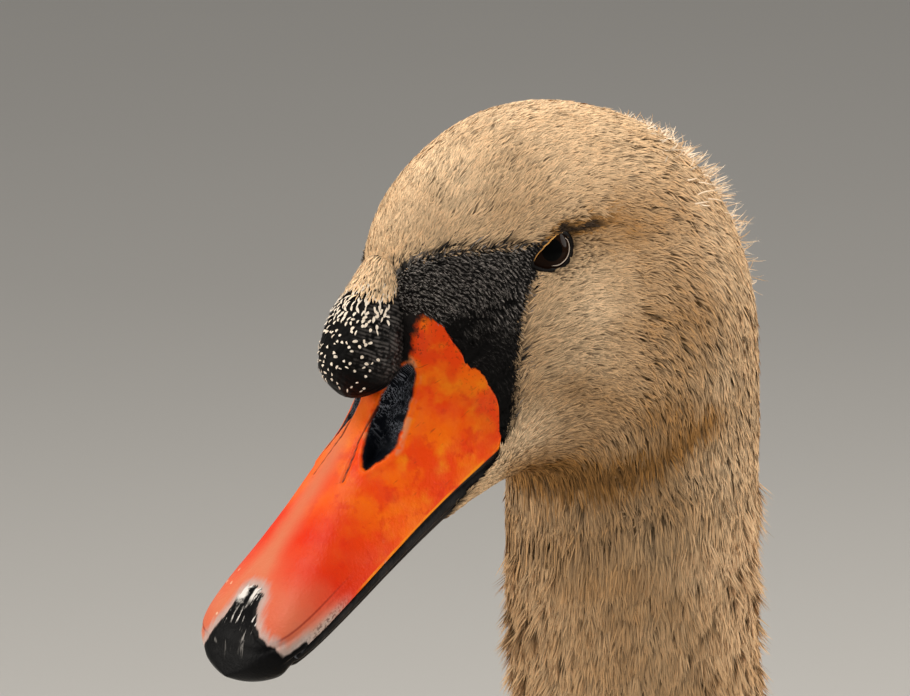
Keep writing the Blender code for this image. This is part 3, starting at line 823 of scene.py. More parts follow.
headCoat = {
    "lengths": ((6.5, 2.2), (8, 2.6), (9.5, 3.8), (11, 5.0), (13, 5.8), (15, 6.4), (18, 7.6)),
    "widths": ((8, 0.42), (9.5, 0.48), (11, 0.53), (14, 0.58), (18, 0.62)),
    "maskLength": 0.4,
    "maskWidth": 0.6,
    "lockTurn": 0.20,
    "turn": 0.12,
    "pull": 0.22,
    "heading": faceHeading,
    "lift": lambda t, angle, forward, up: 0.15 + 0.25 * smooth(13.5, 18, t),
    "stray": (0.02, 1.2),
    "lane": 1.12,
    "laneDepth": lambda forward, up: 0.62 + 0.36 * smooth(-6, -28, up),
}
for part, low, high, count, locks, weight in (
    ("front", 6.5, 10.6, 27000, 5200, outsideMask),
    ("middle", 10.4, 13.2, 33000, 6200, lambda t, angle: outsideMask(t, angle) * smooth(13.3, 12.7, t)),
    ("back", 12.6, 18.3, 40000, 5600, lambda t, angle: smooth(12.6, 13.2, t)),
):
    blades("headCoat_" + part, dict(headCoat, range=(low, high), count=count, locks=locks), weight)


def maskRows(t, angle):  # the wrinkles of the black skin run round the bill's plate
    ahead, up = headPlace(outline(t, angle))
    wobble = 0.22 * waves(47, 2.2, ahead, up) + 0.9 * waves(48, 9.0, ahead, up)
    return distanceTo(marks["plate"], ahead, up, False) + wobble


def acrossRows(t, angle):  # how the rows climb along the bird and round it
    alongSize, roundSize = metrics(t, angle)
    step = 0.02
    byT = (maskRows(t + step, angle) - maskRows(t - step, angle)) / (2 * step * alongSize / mm)
    byA = (maskRows(t, angle + step) - maskRows(t, angle - step)) / (2 * step * roundSize / mm)
    return byT, byA


def alongRows(t, angle, forward, up):
    byT, byA = acrossRows(t, angle)
    way = np.arctan2(byA, byT) + math.pi / 2
    return np.where(np.cos(way) < 0, way + math.pi, way)


def rowCrest(t, angle):  # 1 on top of a wrinkle; fades where the rows meet at a corner of the plate
    wave = 0.5 + 0.5 * np.cos(2 * math.pi * maskRows(t, angle) / maskCoat["rowWidth"])
    return wave * smooth(0.4, 0.85, np.hypot(*acrossRows(t, angle)))


maskCoat = {  # the black velvet between eye, knob and bill
    "lengths": ((7, 1.3), (12, 1.5)),
    "widths": ((7, 0.26), (12, 0.28)),
    "maskLength": 1.0,
    "maskWidth": 1.0,
    "lockTurn": 0.22,
    "turn": 0.12,
    "pull": 0.1,
    "stray": (0, 0),
    "rowWidth": 0.86,
    "heading": alongRows,
    "crest": rowCrest,
    "lift": lambda t, angle, forward, up: 0.7 + 0 * t,
    "count": 40000,
    "locks": 4200,
    "range": (6.6, 12.2),
}
blades("maskVelvet", maskCoat, inMask)
print("head plumage laid")

neckCoat = dict(
    headCoat,
    lengths=((17.5, 6.5), (19, 8.0), (21, 11.0), (24, 15.0), (27, 22.0)),
    widths=((17.5, 0.50), (19, 0.62), (21, 0.80), (24, 1.25), (27, 2.2)),
    lockTurn=0.15,
    turn=0.09,
    pull=0.45,
    heading=lambda t, angle, forward, up: 0.14 * waves(31, 2.0, t * 3, angle * 4),
    lift=lambda t, angle, forward, up: 1.0 + 0.6 * smooth(19, 24, t),
    stray=(0.09, 3.4),
    locks=3600,
    lane=None,
)
for part, low, high, count in (("upper", 17.9, 20.2, 65000), ("lower", 20.0, 26.4, 60000)):
    spec = dict(neckCoat, range=(low, high), count=count)
    blades("neckCoat_" + part, spec, lambda t, angle: smooth(26.6, 23.5, t))
print("neck plumage laid")

# the ruffle of loose feathers on the nape
ruffle = {
    "count": 760,
    "length": (3.4, 6.6),
    "width": 0.50,
    "stand": (3.0, 7.4),
    "range": (13.8, 16.1),
    "middle": 90,  # degrees round the neck
    "taper": (0.9, 1.0, 0.9, 0.7, 0.45, 0.12),
}


def buildRuffle():
    count, stations = ruffle["count"], len(ruffle["taper"])
    t = rng.uniform(*ruffle["range"], count)
    angle = np.radians(rng.normal(ruffle["middle"], 15, count))
    length = rng.uniform(*ruffle["length"], count) * mm
    stand = rng.uniform(*ruffle["stand"], count) * mm * (0.35 + 0.65 * np.sin(math.pi * (t - 13.7) / 2.9))
    alongSize, roundSize = metrics(t, angle)
    heading, bend = rng.normal(0, 0.75, count), rng.normal(0, 0.9, count)
    out = normalAt(t, angle)
    rows = []
    for share in np.linspace(0, 1, stations):
        way, reach = heading + bend * share, length * share * 0.5
        at = skinSurface(t + reach * np.cos(way) / alongSize, angle + reach * np.sin(way) / roundSize)
        rows.append(at + out * (stand * share**0.8)[:, None])
    rows = np.stack(rows, 1)
    side = unit(np.cross(out, unit(rows[:, -1] - rows[:, 0])) + rng.normal(0, 0.4, (count, 3)))
    wide = side[:, None] * (ruffle["width"] * mm * np.array(ruffle["taper"]) / 2)[:, None]
    points = np.stack([rows - wide, rows + wide], 2)
    single = {
        "tone": rng.uniform(0.25, 0.95, count),
        "body": 0.6,
        "stain": staining(rows[:, 0], t) - 0.40,
        "mask": 5.0,
    }
    along = np.repeat(np.linspace(0.5, 1, stations), 2)
    attributes = coatValues(count, along, [-0.35, 0.35] * stations, **single)
    uv = patchesAt(t, angle, [(sign, s) for s in np.linspace(-1, 1, stations) for sign in (-1, 1)])
    faces = stripFaces(count, stations, 2)
    place(makeMesh("napeRuffle", points, faces, downMaterial, attributes, uv), "plumage")


buildRuffle()
print("nape ruffle laid")

# bill
horn = {
    "rows": 300,
    "around": 220,
    "orange": (0.98, 0.150, 0.001),
    "deepOrange": (0.90, 0.062, 0.001),
    "red": (0.74, 0.028, 0.002),
    "pink": (0.64, 0.19, 0.095),
    "pale": (0.60, 0.36, 0.27),
    "yellow": (0.98, 0.30, 0.004),
    "black": (0.003, 0.003, 0.0035),
    "dull": (0.022, 0.019, 0.018),
    "speck": (0.12, 0.016, 0.004),
    "scratch": (0.40, 0.05, 0.006),
    "edgePale": (0.46, 0.37, 0.32),
    "edgeDark": (0.10, 0.085, 0.08),
    "line": (0.26, 0.016, 0.008),
    "pimple": (0.80, 0.46, 0.30),
    "whitish": ((0.62, 0.46, 0.40), (0.34, 0.31, 0.30)),
    "streak": (0.80, 0.76, 0.72),
    "wornEdge": (0.70, 0.30, 0.16),
    "nostril": ((0.003, 0.0045, 0.008), (0.26, 0.28, 0.33)),  # its floor, and the ridges on it
    "creaseLine": (0.03, 0.006, 0.003),
    "nostrilDepth": 2.6,
    "nailRise": 0.35,
    "nailLowest": (106.5, 117.0),  # where it turns down over the edge: left and right
    "capRings": 22,
    "capDepth": 2.6,
    "wearing": 420,  # passes that round the tip
    "polishing": 60,
}


def hornMaterial():
    n = Nodes("Bill horn")
    keys = ("ahead", "over", "aside", "pink", "band", "nail", "nostril", "saddle", "crease")
    ahead, over, aside, pink, band, nail, nostril, saddle, crease = (n.value(key) for key in keys)
    base = n.mix(n.step(0.40, 0.60, n.noise(110.0, 5.0)), horn["orange"], horn["deepOrange"])

    def paint(share, colour):
        nonlocal base
        base = n.mix(share, base, colour)

    def stripe(x, full, none):  # 1 up to full, 0 from none on
        return n.step(none, full, x)

    paint(n.step(0.55, 0.66, n.noise(260.0, 5.0)) * 0.55, horn["red"])
    paint(n.step(0.50, 0.80, n.noise(150.0, 5.0)) * stripe(ahead, 50.0, 84.0), horn["yellow"])
    paint(n.step(60.0, 96.0, ahead) + (n.noise(52.0) - 0.5) * 1.1, horn["red"])
    paint((pink + (n.noise(120.0) - 0.5) * 0.5) * 0.9, horn["pink"])
    # dark specks and red-brown mottling where the horn meets the feathers and the knob
    near = n.largest(stripe(ahead, 31.0, 37.0) * 0.5, stripe(saddle, 0.2, 2.4))
    paint(n.step(0.56, 0.66, n.noise(1250.0, 2.0)) * 0.75 * near, horn["speck"])
    scratches = n.step(0.66, 0.74, n.noise(1.0, 3.0, n.join(ahead * 0.22, band * 1.1, 7.0)))
    paint(scratches * stripe(ahead, 60.0, 86.0) * 0.55, horn["scratch"])
    # along the edge of the bill: a pale band under a fine dark line, strongest towards the tip
    paint(stripe(band, 1.2, 4.4) * n.step(88.0, 104.0, ahead) * 0.8, horn["pale"])
    grain = n.mix(n.step(0.46, 0.62, n.noise(1300.0, 2.0)), horn["edgePale"], horn["edgeDark"])
    paint(stripe(band, 0.8, 2.6) * n.step(88.0, 100.0, ahead) * 0.85, grain)
    rim = stripe(band, 0.3, 0.85) * stripe(ahead, 80.0, 93.0)
    paint(rim * n.step(0.30, 0.62, n.noise(160.0)), horn["yellow"])
    paint(stripe(band, -0.3, 0.1) * stripe(ahead, 64.0, 74.0), horn["black"])
    line = stripe(abs(band - 4.6), 0.0, 0.38)
    paint(line * n.step(84.0, 100.0, ahead) * 0.75, horn["line"])
    pimple = stripe(n.cells(260.0), 0.10, 0.17) * n.step(0.62, 0.66, n.noise(60.0, 1.0))
    pimple = pimple * n.step(74.0, 80.0, ahead)
    paint(pimple, horn["pimple"])
    # round the nail the horn is whitish, then black with lengthwise pale streaks
    fine = n.noise(420.0)
    streak = n.noise(1.0, 3.0, n.join(over * 0.75, ahead * 0.10)) - 0.5
    paint(stripe(nail + streak * 4.0, 0.4, 3.2) * 0.85, n.mix(fine, *horn["whitish"]))
    ragged = (n.noise(900.0) - 0.5) * 3.0
    patch = stripe(abs(aside + 2.2 + ragged), 1.0, 2.3) * stripe(ahead + ragged, 105.4, 107.6)
    between = stripe(abs(aside - (ragged * 0.2 + 1.9)), 0.35, 0.75) * stripe(ahead, 105.0, 107.5)
    threads = n.step(0.57, 0.63, n.noise(1.0, 2.0, n.join(over * 1.5, ahead * 0.16, 3.0)))
    threads = threads * stripe(over, 7.0, 9.0) * stripe(ahead, 109.0, 119.0)
    threads = threads * n.step(0.44, 0.60, n.noise(420.0, 2.0))
    streaks = n.largest(n.largest(threads, between), patch) * 0.92
    nailEdge = nail + streak * (stripe(ahead, 102.0, 111.0) * 7.0 + 1.2)
    paint(stripe(nailEdge, -0.25, 0.35), n.mix(streaks, horn["black"], horn["streak"]))
    # nostril and the black skin round the knob
    wrinkle = abs(n.noise(1.0, 3.0, n.join(ahead * 1.3, aside * 2.6, 5.0)) - 0.5)
    ridges = stripe(wrinkle, 0.0, 0.045) * n.step(0.36, 0.55, n.noise(350.0, 2.0)) * stripe(ahead, 50.0, 60.0)
    worn = stripe(nostril, 0.5, 1.3) * n.step(0.48, 0.62, n.noise(300.0, 2.0)) * stripe(ahead, 56.0, 62.0)
    paint(worn * 0.6, horn["wornEdge"])
    ragged = (n.noise(420.0) - 0.5) * 2.2
    paint(stripe(nostril + ragged * 0.4, -0.3, 0.3), n.mix(ridges, *horn["nostril"]))
    paint(stripe(saddle + ragged, -0.5, 0.5), n.mix(n.noise(900.0, 2.0), horn["black"], horn["dull"]))
    paint(stripe(crease, 0.12, 0.42) * 0.9, horn["creaseLine"])
    inBlack = n.largest(stripe(saddle, -0.5, 0.5), stripe(nostril, -0.3, 0.3))
    calm = n.largest(inBlack, stripe(nail, -0.3, 0.3))
    relief = n.noise(75.0, 4.0) * 0.6 + fine * 0.5 + pimple * 0.4 - n.step(0.0, 0.08, wrinkle) * inBlack * 0.9
    n.look(
        Base_Color=base,
        Roughness=fine * 0.22 + inBlack * 0.12 + 0.30,
        Specular_IOR_Level=0.14 - calm * 0.08,
        Normal=n.bump(relief + n.noise(1500.0, 2.0) * 0.4, 0.5, 0.0005),
    )
    return n.material


def seamPlace(angle, line):  # where along the loft the seam crosses, at each angle
    t = np.linspace(5.0, 12.0, 420)
    ahead, up = headPlace(outline(*grid(t, angle)))
    levels, places = zip(*sorted((level, place) for place, level in line))
    behind = ahead < np.interp(up, levels, places)
    return t[np.where(behind.any(0), behind.argmax(0), len(t) - 1)]


def billMarking(key, ahead, over, onTop=True, closed=True):
    return np.where(onTop, distanceTo(billMarks[key], ahead, over, closed), 9.0)


def buildBill():
    around = horn["around"]
    angle = np.linspace(-0.5, 1.5, around, endpoint=False) * math.pi
    rise = np.sin(angle)
    jaw = np.minimum(seamPlace(angle, marks["jaw"]), 8.6)
    end = np.where(rise > -0.02, seamPlace(angle, marks["plate"]) + 0.25, jaw)
    t = 0.02 + (np.linspace(0, 1, horn["rows"]) ** 0.92)[:, None] * (end - 0.02)[None]
    aa = np.broadcast_to(angle, t.shape)
    points, normals = outline(t, aa), normalAt(np.maximum(t, 0.03), aa)
    middle, first = points[0].mean(0), horn["capRings"]
    forwardWay = np.array([0.0, -math.cos(slope), -math.sin(slope)]) * horn["capDepth"] * mm
    cap = [
        middle + (points[0] - middle) * math.sin(turn) + forwardWay * math.cos(turn)
        for turn in np.linspace(0.002, 0.97, first) * math.pi / 2
    ]
    sharp = np.concatenate([cap, points])
    rounded = sharp.copy()
    for _ in range(horn["wearing"]):  # the tip is worn round
        rounded[1:-1] = evened(rounded)

    def towardsTip(full, none):  # 1 on the cap, then down to 0
        return np.concatenate([np.ones((first, around)), smooth(none, full, t)])[..., None]

    rounded = sharp + (rounded - sharp) * towardsTip(0.7, 1.9)
    points = rounded[first:]
    sideways = np.roll(rounded, -1, axis=1) - np.roll(rounded, 1, axis=1)
    worn = unit(np.cross(np.gradient(rounded, axis=0), sideways))
    normals = normals + (worn[first:] - normals) * smooth(2.2, 1.6, t)[..., None]
    ahead, up = headPlace(points)
    over, onRight, onTop = np.abs(points[..., 0]) / mm, points[..., 0] < 0, np.sin(aa) > 0.12
    nostril = billMarking("nostril", ahead, over, onTop)
    opening = billMarking("opening", ahead, over, onTop)
    saddle = billMarking("saddle", ahead, over, onTop)
    crease = billMarking("crease", ahead, over, onTop, False)
    band = up - bird["mouthLevel"]
    nail = np.where(onRight, billMarking("nailRight", ahead, over), billMarking("nail", ahead, over))
    lowest = np.where(onRight, *horn["nailLowest"][::-1])
    nail = np.minimum(nail, np.maximum(band - 0.9, lowest - ahead))  # it turns down over the lower edge
    height = -horn["nostrilDepth"] * smooth(0.2, -2.0, nostril) - 1.8 * smooth(0.3, -1.6, opening)
    height += 0.22 * waves(51, 1.5, ahead, over * 1.5) * smooth(0, -1, nostril) * smooth(60, 50, ahead)
    height += 0.35 * np.exp(-((nostril - 0.7) / 0.7) ** 2)
    height -= 0.45 * np.exp(-((crease / 0.45) ** 2))
    height -= 0.30 * np.exp(-(((band - 3.6) / 0.5) ** 2)) * smooth(78, 96, ahead) * (rise > 0)
    height += horn["nailRise"] * smooth(0.1, -1.2, nail) - 0.18 * np.exp(-(((nail - 0.1) / 0.35) ** 2))
    height += 0.10 * waves(52, 6.0, ahead, over * 2) * smooth(112, 100, ahead)
    height -= 1.3 * smooth(0.03, -0.10, rise)[None] * smooth(1.3, 2.0, t)  # the lower half lies over it here
    height -= 1.9 * smooth(0.28, 0.12, end[None] - t) * (rise > -0.02)  # feathers begin above its hind edge
    cap = rounded[:first] + worn[:first] * (horn["nailRise"] * mm)
    points = np.concatenate([cap, points + normals * (height * mm)[..., None]])
    calm = towardsTip(0.9, 1.5)[1:-1]
    for _ in range(horn["polishing"]):  # so that no fold crosses the nail
        points[1:-1] += (evened(points) - points[1:-1]) * calm
    # the pink stripe along the culmen is partly the horn's own colour and partly a painted highlight
    ridge = bump2(points[first:, :, 0] / mm, 0, -2.2, 0, 4.2, 1) * smooth(50, 66, ahead)
    pink = np.clip(0.85 * smooth(88, 109, ahead) + 0.95 * ridge, 0, 1)
    band = np.where(rise > -0.3, band, 9)
    measured = {"ahead": ahead, "over": over, "pink": pink, "band": band, "nail": nail}
    measured.update(nostril=nostril, saddle=saddle, crease=crease)
    attributes = {"aside": points[..., 0] / mm}
    for key, values in measured.items():
        attributes[key] = np.concatenate([np.repeat(values[:1], first, axis=0), values])
    faces = gridFaces(len(points), around, closed=True)[:, ::-1]
    made = makeMesh("upperBill", points, faces, hornMaterial(), attributes)
    place(made, "bill_orange", "bill_upper", "bill_nail")


buildBill()

lowerBill = {
    "rows": 150,
    "around": 110,
    "start": 1.75,
    "inset": 0.45,
    "black": (0.003, 0.003, 0.0035),
    "grey": (0.014, 0.013, 0.014),
    # painted reflection: the pale bluish glints along the lower bill
    "worn": (0.22, 0.23, 0.26),
}


def buildLowerBill():
    n = Nodes("Lower bill horn")
    # worn marks here are painted glints of reflection, in streaks along the bill
    worn = n.step(0.64, 0.70, n.noise(420.0, 3.0, n.place(1, 0.16, 0.16))) * 0.8
    dull = n.step(0.45, 0.65, n.noise(300.0, 3.0, n.place(1, 0.3, 0.3)))
    colour = n.mix(worn, n.mix(dull, lowerBill["black"], lowerBill["grey"]), lowerBill["worn"])
    relief = n.bump(n.noise(700.0), 0.5, 0.0004)
    n.look(Base_Color=colour, Roughness=0.42, Specular_IOR_Level=0.08, Normal=relief)
    angle = np.radians(np.linspace(4, -184, lowerBill["around"]))
    end = np.minimum(seamPlace(angle, marks["jaw"]) + 0.5, 9.4)
    end = np.where(np.sin(angle) > -0.05, np.minimum(end, 9.0), end)
    start = lowerBill["start"]
    t = start + np.linspace(0, 1, lowerBill["rows"])[:, None] * (end - start)[None]
    aa = np.broadcast_to(angle, t.shape)
    height = -lowerBill["inset"] - 0.9 * smooth(-0.10, 0.03, np.sin(aa)) - 0.8 * smooth(0.35, 0.0, t - start)
    height -= 0.35 * np.exp(-(((np.sin(aa) + 0.42) / 0.07) ** 2))
    points = outline(t, aa) + normalAt(t, aa) * (height * mm)[..., None]
    lid = points[0].mean(0) + (points[:1] - points[0].mean(0)) * 0.1
    points = np.concatenate([lid, points])
    made = makeMesh("lowerBill", points, gridFaces(*points.shape[:2]), n.material)
    place(made, "bill_black", "bill_lower")


buildLowerBill()
print("bill made")

# knob
knob = {
    "root": (31.5, -5.0),  # forward and up from the eye
    "end": (44.0, -34.0),
    "profile": (
        (-9, 0.05), (-5, 3.0), (0, 5.6), (7, 7.4), (12, 8.9), (17, 9.8), (22, 10.0), (26.5, 8.5), (29.6, 5.4),
        (31, 2.8), (31.7, 0.05),
    ),
    "grid": (190, 120),
    "rings": 0.95,  # apart, along the knob
    "black": (0.003, 0.0028, 0.0028),
    # painted highlight on the crests of the knob's rings
    "ringHighlight": (0.11, 0.10, 0.095),
    "flecks": 1500,
    "fleckLength": (0.8, 1.4),
    "fleckWidth": 0.66,
    "fleckColours": ((0.80, 0.66, 0.50), (0.92, 0.84, 0.74)),
    "plumes": 3000,
}
knobEnds = knob["profile"][0][0], knob["profile"][-1][0]


def knobFrame():  # root, axis, left, front
    root, end = (eyeToSpace(np.array((0, *knob[key])), 1) for key in ("root", "end"))
    axis = unit(end - root)
    return root, axis, np.array([1.0, 0, 0]), np.cross(axis, [1.0, 0, 0])


def knobSurface(along, turn, height=0.0):  # mm along; turn 0 to the front, a quarter turn to the left
    root, axis, left, front = knobFrame()
    table = np.linspace(*knobEnds, 200)
    squares = interp(table, [(place, radius**2) for place, radius in knob["profile"]])
    for _ in range(3):
        squares[4:-1] = evened(squares[3:])
    for _ in range(40):
        squares[1:-1] = np.where(table[1:-1] < 24, evened(squares), squares[1:-1])
    radius = np.sqrt(np.maximum(np.interp(along, table, squares), 0)) + height
    radius = radius * (1 + 0.025 * np.sin(3 * turn + along * 0.3))
    way = np.cos(turn)[..., None] * front + np.sin(turn)[..., None] * left
    return root + axis * (np.asarray(along)[..., None] * mm) + way * (radius * mm)[..., None]


def buildKnob():
    n = Nodes("Knob skin")
    # the crests of the rings carry a painted highlight
    colour = n.mix(n.value("ring") * n.step(0.38, 0.62, n.noise(700.0)), knob["black"], knob["ringHighlight"])
    relief = n.bump(n.cells(700.0) * -0.8 + n.noise(450.0), 0.7, 0.0004)
    n.look(Base_Color=colour, Roughness=0.5, Specular_IOR_Level=0.06, Normal=relief)
    rows, columns = knob["grid"]
    aa, tt = grid(np.linspace(*knobEnds, rows), circle(columns))
    x, y = np.cos(tt) * 9, np.sin(tt) * 9
    phase = 2 * math.pi * (aa + 0.45 * waves(62, 3.5, aa, x, y)) / knob["rings"]
    sides = smooth(0.45, 1.1, np.abs((tt + math.pi) % (2 * math.pi) - math.pi)) * smooth(27, 21, aa)
    ring = (0.5 + 0.5 * np.cos(phase)) * sides
    height = (0.13 * waves(61, 1.6, aa, x, y) + 0.20 * ring) * smooth(31.5, 28, aa)
    faces = gridFaces(rows, columns, closed=True)[:, ::-1]
    made = makeMesh("knob", knobSurface(aa, tt, height), faces, n.material, {"ring": ring})
    place(made, "bill_black", "bill_knob")


def spaced(points, apart):  # leaves out whatever stands too close to one already kept
    kept = []
    for i, point in enumerate(points):
        if not kept or np.min(np.linalg.norm(points[kept] - point, axis=1)) > apart * mm:
            kept.append(i)
    return np.array(kept)


def tufts(name, along, turn, length, width, lean, rise, material, **single):
    rows = []
    for share, wide, lift in ((0, 0.5, 0.02), (0.3, 1.0, 0.7), (0.7, 0.9, 1.0), (1.0, 0.2, 0.7)):
        for sign in (-1, 1):
            beside = sign * wide * width / 2
            a = along + length * share * np.cos(lean) - beside * np.sin(lean)
            w = turn + (length * share * np.sin(lean) + beside * np.cos(lean)) / 9.0
            rows.append(knobSurface(np.minimum(a, 31.2), w, rise * lift))
    corners = [(s, a) for a in (-1, -0.4, 0.4, 1) for s in (-1, 1)]
    uv = patchesAt(9 + along / 40, np.radians(90 - 25 * turn), corners)
    shares = np.repeat([0.3, 0.6, 0.85, 1.0], 2)
    values = coatValues(len(along), shares, [0.0] * 8, **single) if single else {}
    faces = stripFaces(len(along), 4, 2)[:, ::-1]
    place(makeMesh(name, np.stack(rows, 1), faces, material, values, uv), "plumage")


def buildFlecks():  # pale flecks of feather that thin out down the front of the knob
    count = knob["flecks"]
    along, turn = rng.uniform(2.5, 30.5, count), rng.uniform(-1.5, 1.5, count)
    dense = 0.17 + 0.83 * smooth(18, 10, along)
    edge = smooth(1.50, 1.12, np.abs(turn) - 0.25 * smooth(17, 23, along) + 0.22 * smooth(10, 16, along))
    keep = rng.uniform(0, 1, count) < dense * edge
    along, turn = along[keep], turn[keep]
    kept = spaced(knobSurface(along, turn), 0.92)
    along, turn = along[kept], turn[kept]
    n = len(along)
    low = smooth(14, 24, along)
    length = rng.uniform(*knob["fleckLength"], n) * (1 - 0.25 * low) + 0.9 * smooth(15, 7, along)
    width = knob["fleckWidth"] * rng.uniform(0.5, 1.15, n)
    lean = rng.normal(0, 0.45, n) + 1.2 * low * rng.choice([-1, 0, 1], n)
    m = Nodes("White flecks")
    m.look(Base_Color=m.mix(m.noise(600.0, 2.0), *knob["fleckColours"]), Roughness=0.6)
    tufts("knobFlecks", along, turn, length, width, lean, rng.uniform(0.30, 0.55, n), m.material)


def buildKnobPlumes():  # the forehead's plumage runs down over the root of the knob
    count = knob["plumes"]
    along, turn = rng.uniform(-3, 13, count), rng.uniform(-1.9, 1.9, count)
    edge = smooth(1.85, 1.35, np.abs(turn) + 0.05 * np.maximum(along, 0))
    keep = rng.uniform(0, 1, count) < smooth(8.5, 2.5, along) * edge
    along, turn = along[keep], turn[keep]
    n = len(along)
    single = {"tone": rng.uniform(0, 1, n), "stain": rng.uniform(0.02, 0.3, n), "mask": 5.0, "body": 0.0}
    lean = rng.normal(0, 0.22, n) + 0.15 * turn
    length, width, rise = (rng.uniform(low, high, n) for low, high in ((1.4, 2.4), (0.26, 0.46), (0.25, 0.8)))
    tufts("knobPlumes", along, turn, length, width, lean, rise, downMaterial, **single)


buildKnob()
buildFlecks()
buildKnobPlumes()
print("knob made")


# eyes and lids
def buildEye(side, name):
    n = Nodes("Eye " + name)
    off = n.value("off")
    iris = n.mix(n.step(5.6, 5.0, off), eye["ball"], n.mix(n.noise(900.0), *eye["iris"]))
    colour = n.mix(n.step(2.9, 2.6, off), iris, eye["pupil"])
    n.look(Base_Color=colour, Roughness=0.05, Specular_IOR_Level=0.025)
    oo, tt = grid(np.concatenate([[0.0], np.linspace(0.25, 8.15, 40)]), circle(64))
    points = overBall(oo * np.cos(tt), oo * np.sin(tt), 0.0, side)
    faces = gridFaces(41, 64, closed=True)[:, ::side]
    place(makeMesh("eyeball_" + name, points, faces, n.material, {"off": oo}), "eye", "eye_" + name)


def aroundLid(turn, off):  # fore and over on the ball, off in mm outside the opening's edge
    cx, cy = eye["openingMiddle"]
    reach = openingRadius(turn) + off
    return cx + reach * np.cos(turn), cy + reach * np.sin(turn)


def buildLids(side, name):
    n = Nodes("Lid skin " + name)
    grain = n.noise(1500.0, 2.0)
    colour = n.mix(n.step(0.5, 0.7, grain) * n.step(0.2, 1.1, n.value("off")), *eye["lidColours"])
    relief = n.bump(grain + n.noise(600.0, 2.0), 0.5, 0.0003)
    n.look(Base_Color=colour, Roughness=0.5, Specular_IOR_Level=0.2, Normal=relief)
    off, rise = np.array(eye["lidProfile"]).T
    oo, tt = grid(off / 1.3 * eye["lidWidth"], lidTurns)
    fore, over = aroundLid(tt, oo)
    bumpy = 0.05 * waves(71, 0.5, fore, over) * (oo > 0)
    points = overBall(fore, over, (rise / 0.62 * eye["lidHeight"])[:, None] + bumpy, side)
    faces = gridFaces(*oo.shape, closed=True)[:, ::side]
    place(makeMesh("lids_" + name, points, faces, n.material, {"off": oo}), "bill_black")
    for part, colour, low, high, out, up, size in (
        ("lidEdge", eye["edgeGold"], -18, 118, 0.02, 0.34, 0.21),
        ("lidCrescent", eye["crescent"], 135, 285, -0.85, 0.04, 0.15),
    ):
        thick = (size * np.sin(np.linspace(0.08, math.pi - 0.08, 50)) ** 0.5)[:, None]
        ww, rr = grid(np.radians(np.linspace(low, high, 50)), circle(6))
        fore, over = aroundLid(ww, out + thick * np.cos(rr))
        points = overBall(fore, over, up + 0.8 * thick * np.sin(rr), side)
        m = Nodes(part + " " + name)
        m.look(Base_Color=colour, Roughness=0.35)
        place(makeMesh(part + "_" + name, points, gridFaces(50, 6, closed=True), m.material), "eye")


for side, name in ((1, "left"), (-1, "right")):
    buildEye(side, name)
    buildLids(side, name)
print("eyes made")


# broad feathers: each is a small curved grid
def vaneShape(share, point):  # half width along the feather, 1 at its widest
    rise = smooth(-0.05, 0.35, share) * 0.45 + 0.55
    tip = np.sqrt(np.maximum(1 - np.clip((share - point) / (1 - point), 0, 1) ** 2.2, 0))
    return rise * np.maximum(tip, 0.04)


def curved(centres, side, out, half, columns, dome, notch=0):  # the vane on both sides of its middle line
    half = half[:, :, None]
    wide, low = half * (columns + notch), half * dome * columns**2
    return centres[:, :, None] + side * wide[..., None] - out * low[..., None]


def featherMesh(name, points, t, angle, shares, columns, start, **single):
    count, stations, across = points.shape[:3]
    along = np.repeat(start + (1 - start) * shares, across)
    attributes = coatValues(count, along, np.tile(columns, stations), mask=5.0, **single)
    uv = patchesAt(t, angle, [(c, 2 * s - 1) for s in shares for c in columns])
    return makeMesh(name, points, stripFaces(count, stations, across), vaneMaterial, attributes, uv)


bodyEnd = lastSlice - 0.1


def vanes(name, t, angle, spec):  # feathers that lie along the skin
    count = len(t)
    stations, across = spec["grid"]
    length = interp(t, spec["length"]) * rng.uniform(0.85, 1.15, count) * mm
    width = interp(t, spec["width"]) * rng.uniform(0.88, 1.1, count) * mm
    heading = spec["heading"] + rng.normal(0, spec["turn"], count)
    alongSize, roundSize = metrics(t, angle)
    rise = interp(t, spec["rise"]) * mm * rng.uniform(0.8, 1.2, count)
    roll = rng.normal(0, 0.06, count)
    shares, columns = np.linspace(0, 1, stations) ** 0.85, np.linspace(-1, 1, across)
    centres, outs = [], []
    for share in shares:
        tt = t + length * share * np.cos(heading) / alongSize
        aa = angle + length * share * np.sin(heading) / roundSize
        past = np.maximum(tt - bodyEnd, 0) * alongSize  # behind the rump they run on straight, over the tail
        tt = np.minimum(tt, bodyEnd)
        trail = unit(unit(outline(tt, aa) - outline(tt - 0.2, aa)) + [0, 1.0, 0])
        out = normalAt(tt, aa)
        lifted = spec["root"] * mm * (1 - share) + rise * share**1.3
        centres.append(skinSurface(tt, aa) + trail * past[:, None] + out * lifted[:, None])
        outs.append(out)
    centres, outs = np.stack(centres, 1), np.stack(outs, 1)
    side = unit(np.cross(outs, np.gradient(centres, axis=1)))
    side = unit(side + outs * roll[:, None, None])
    half = vaneShape(shares, spec["point"])[None] * width[:, None] / 2
    notch = rng.normal(0, 0.03, (count, stations, across))
    points = curved(centres, side[:, :, None], outs[:, :, None], half, columns, spec["dome"], notch)
    points[..., 2] = np.maximum(points[..., 2], 0.25 * mm)
    tone = rng.uniform(0.15, 0.85, count)
    single = {"tone": tone, "body": bodyShare(t), "stain": staining(centres[:, 0], t)}
    return place(featherMesh(name, points, t, angle, shares, columns, 0.30, **single), "plumage")


def underWing(t, angle):  # 1 where the folded wing covers the body
    degrees = sideDegrees(angle)
    low, high, _ = wingEdges(t)
    return ((degrees > low + 3) & (degrees < high - 1) & (t > 27.6) & (t < 37.3)).astype(float)


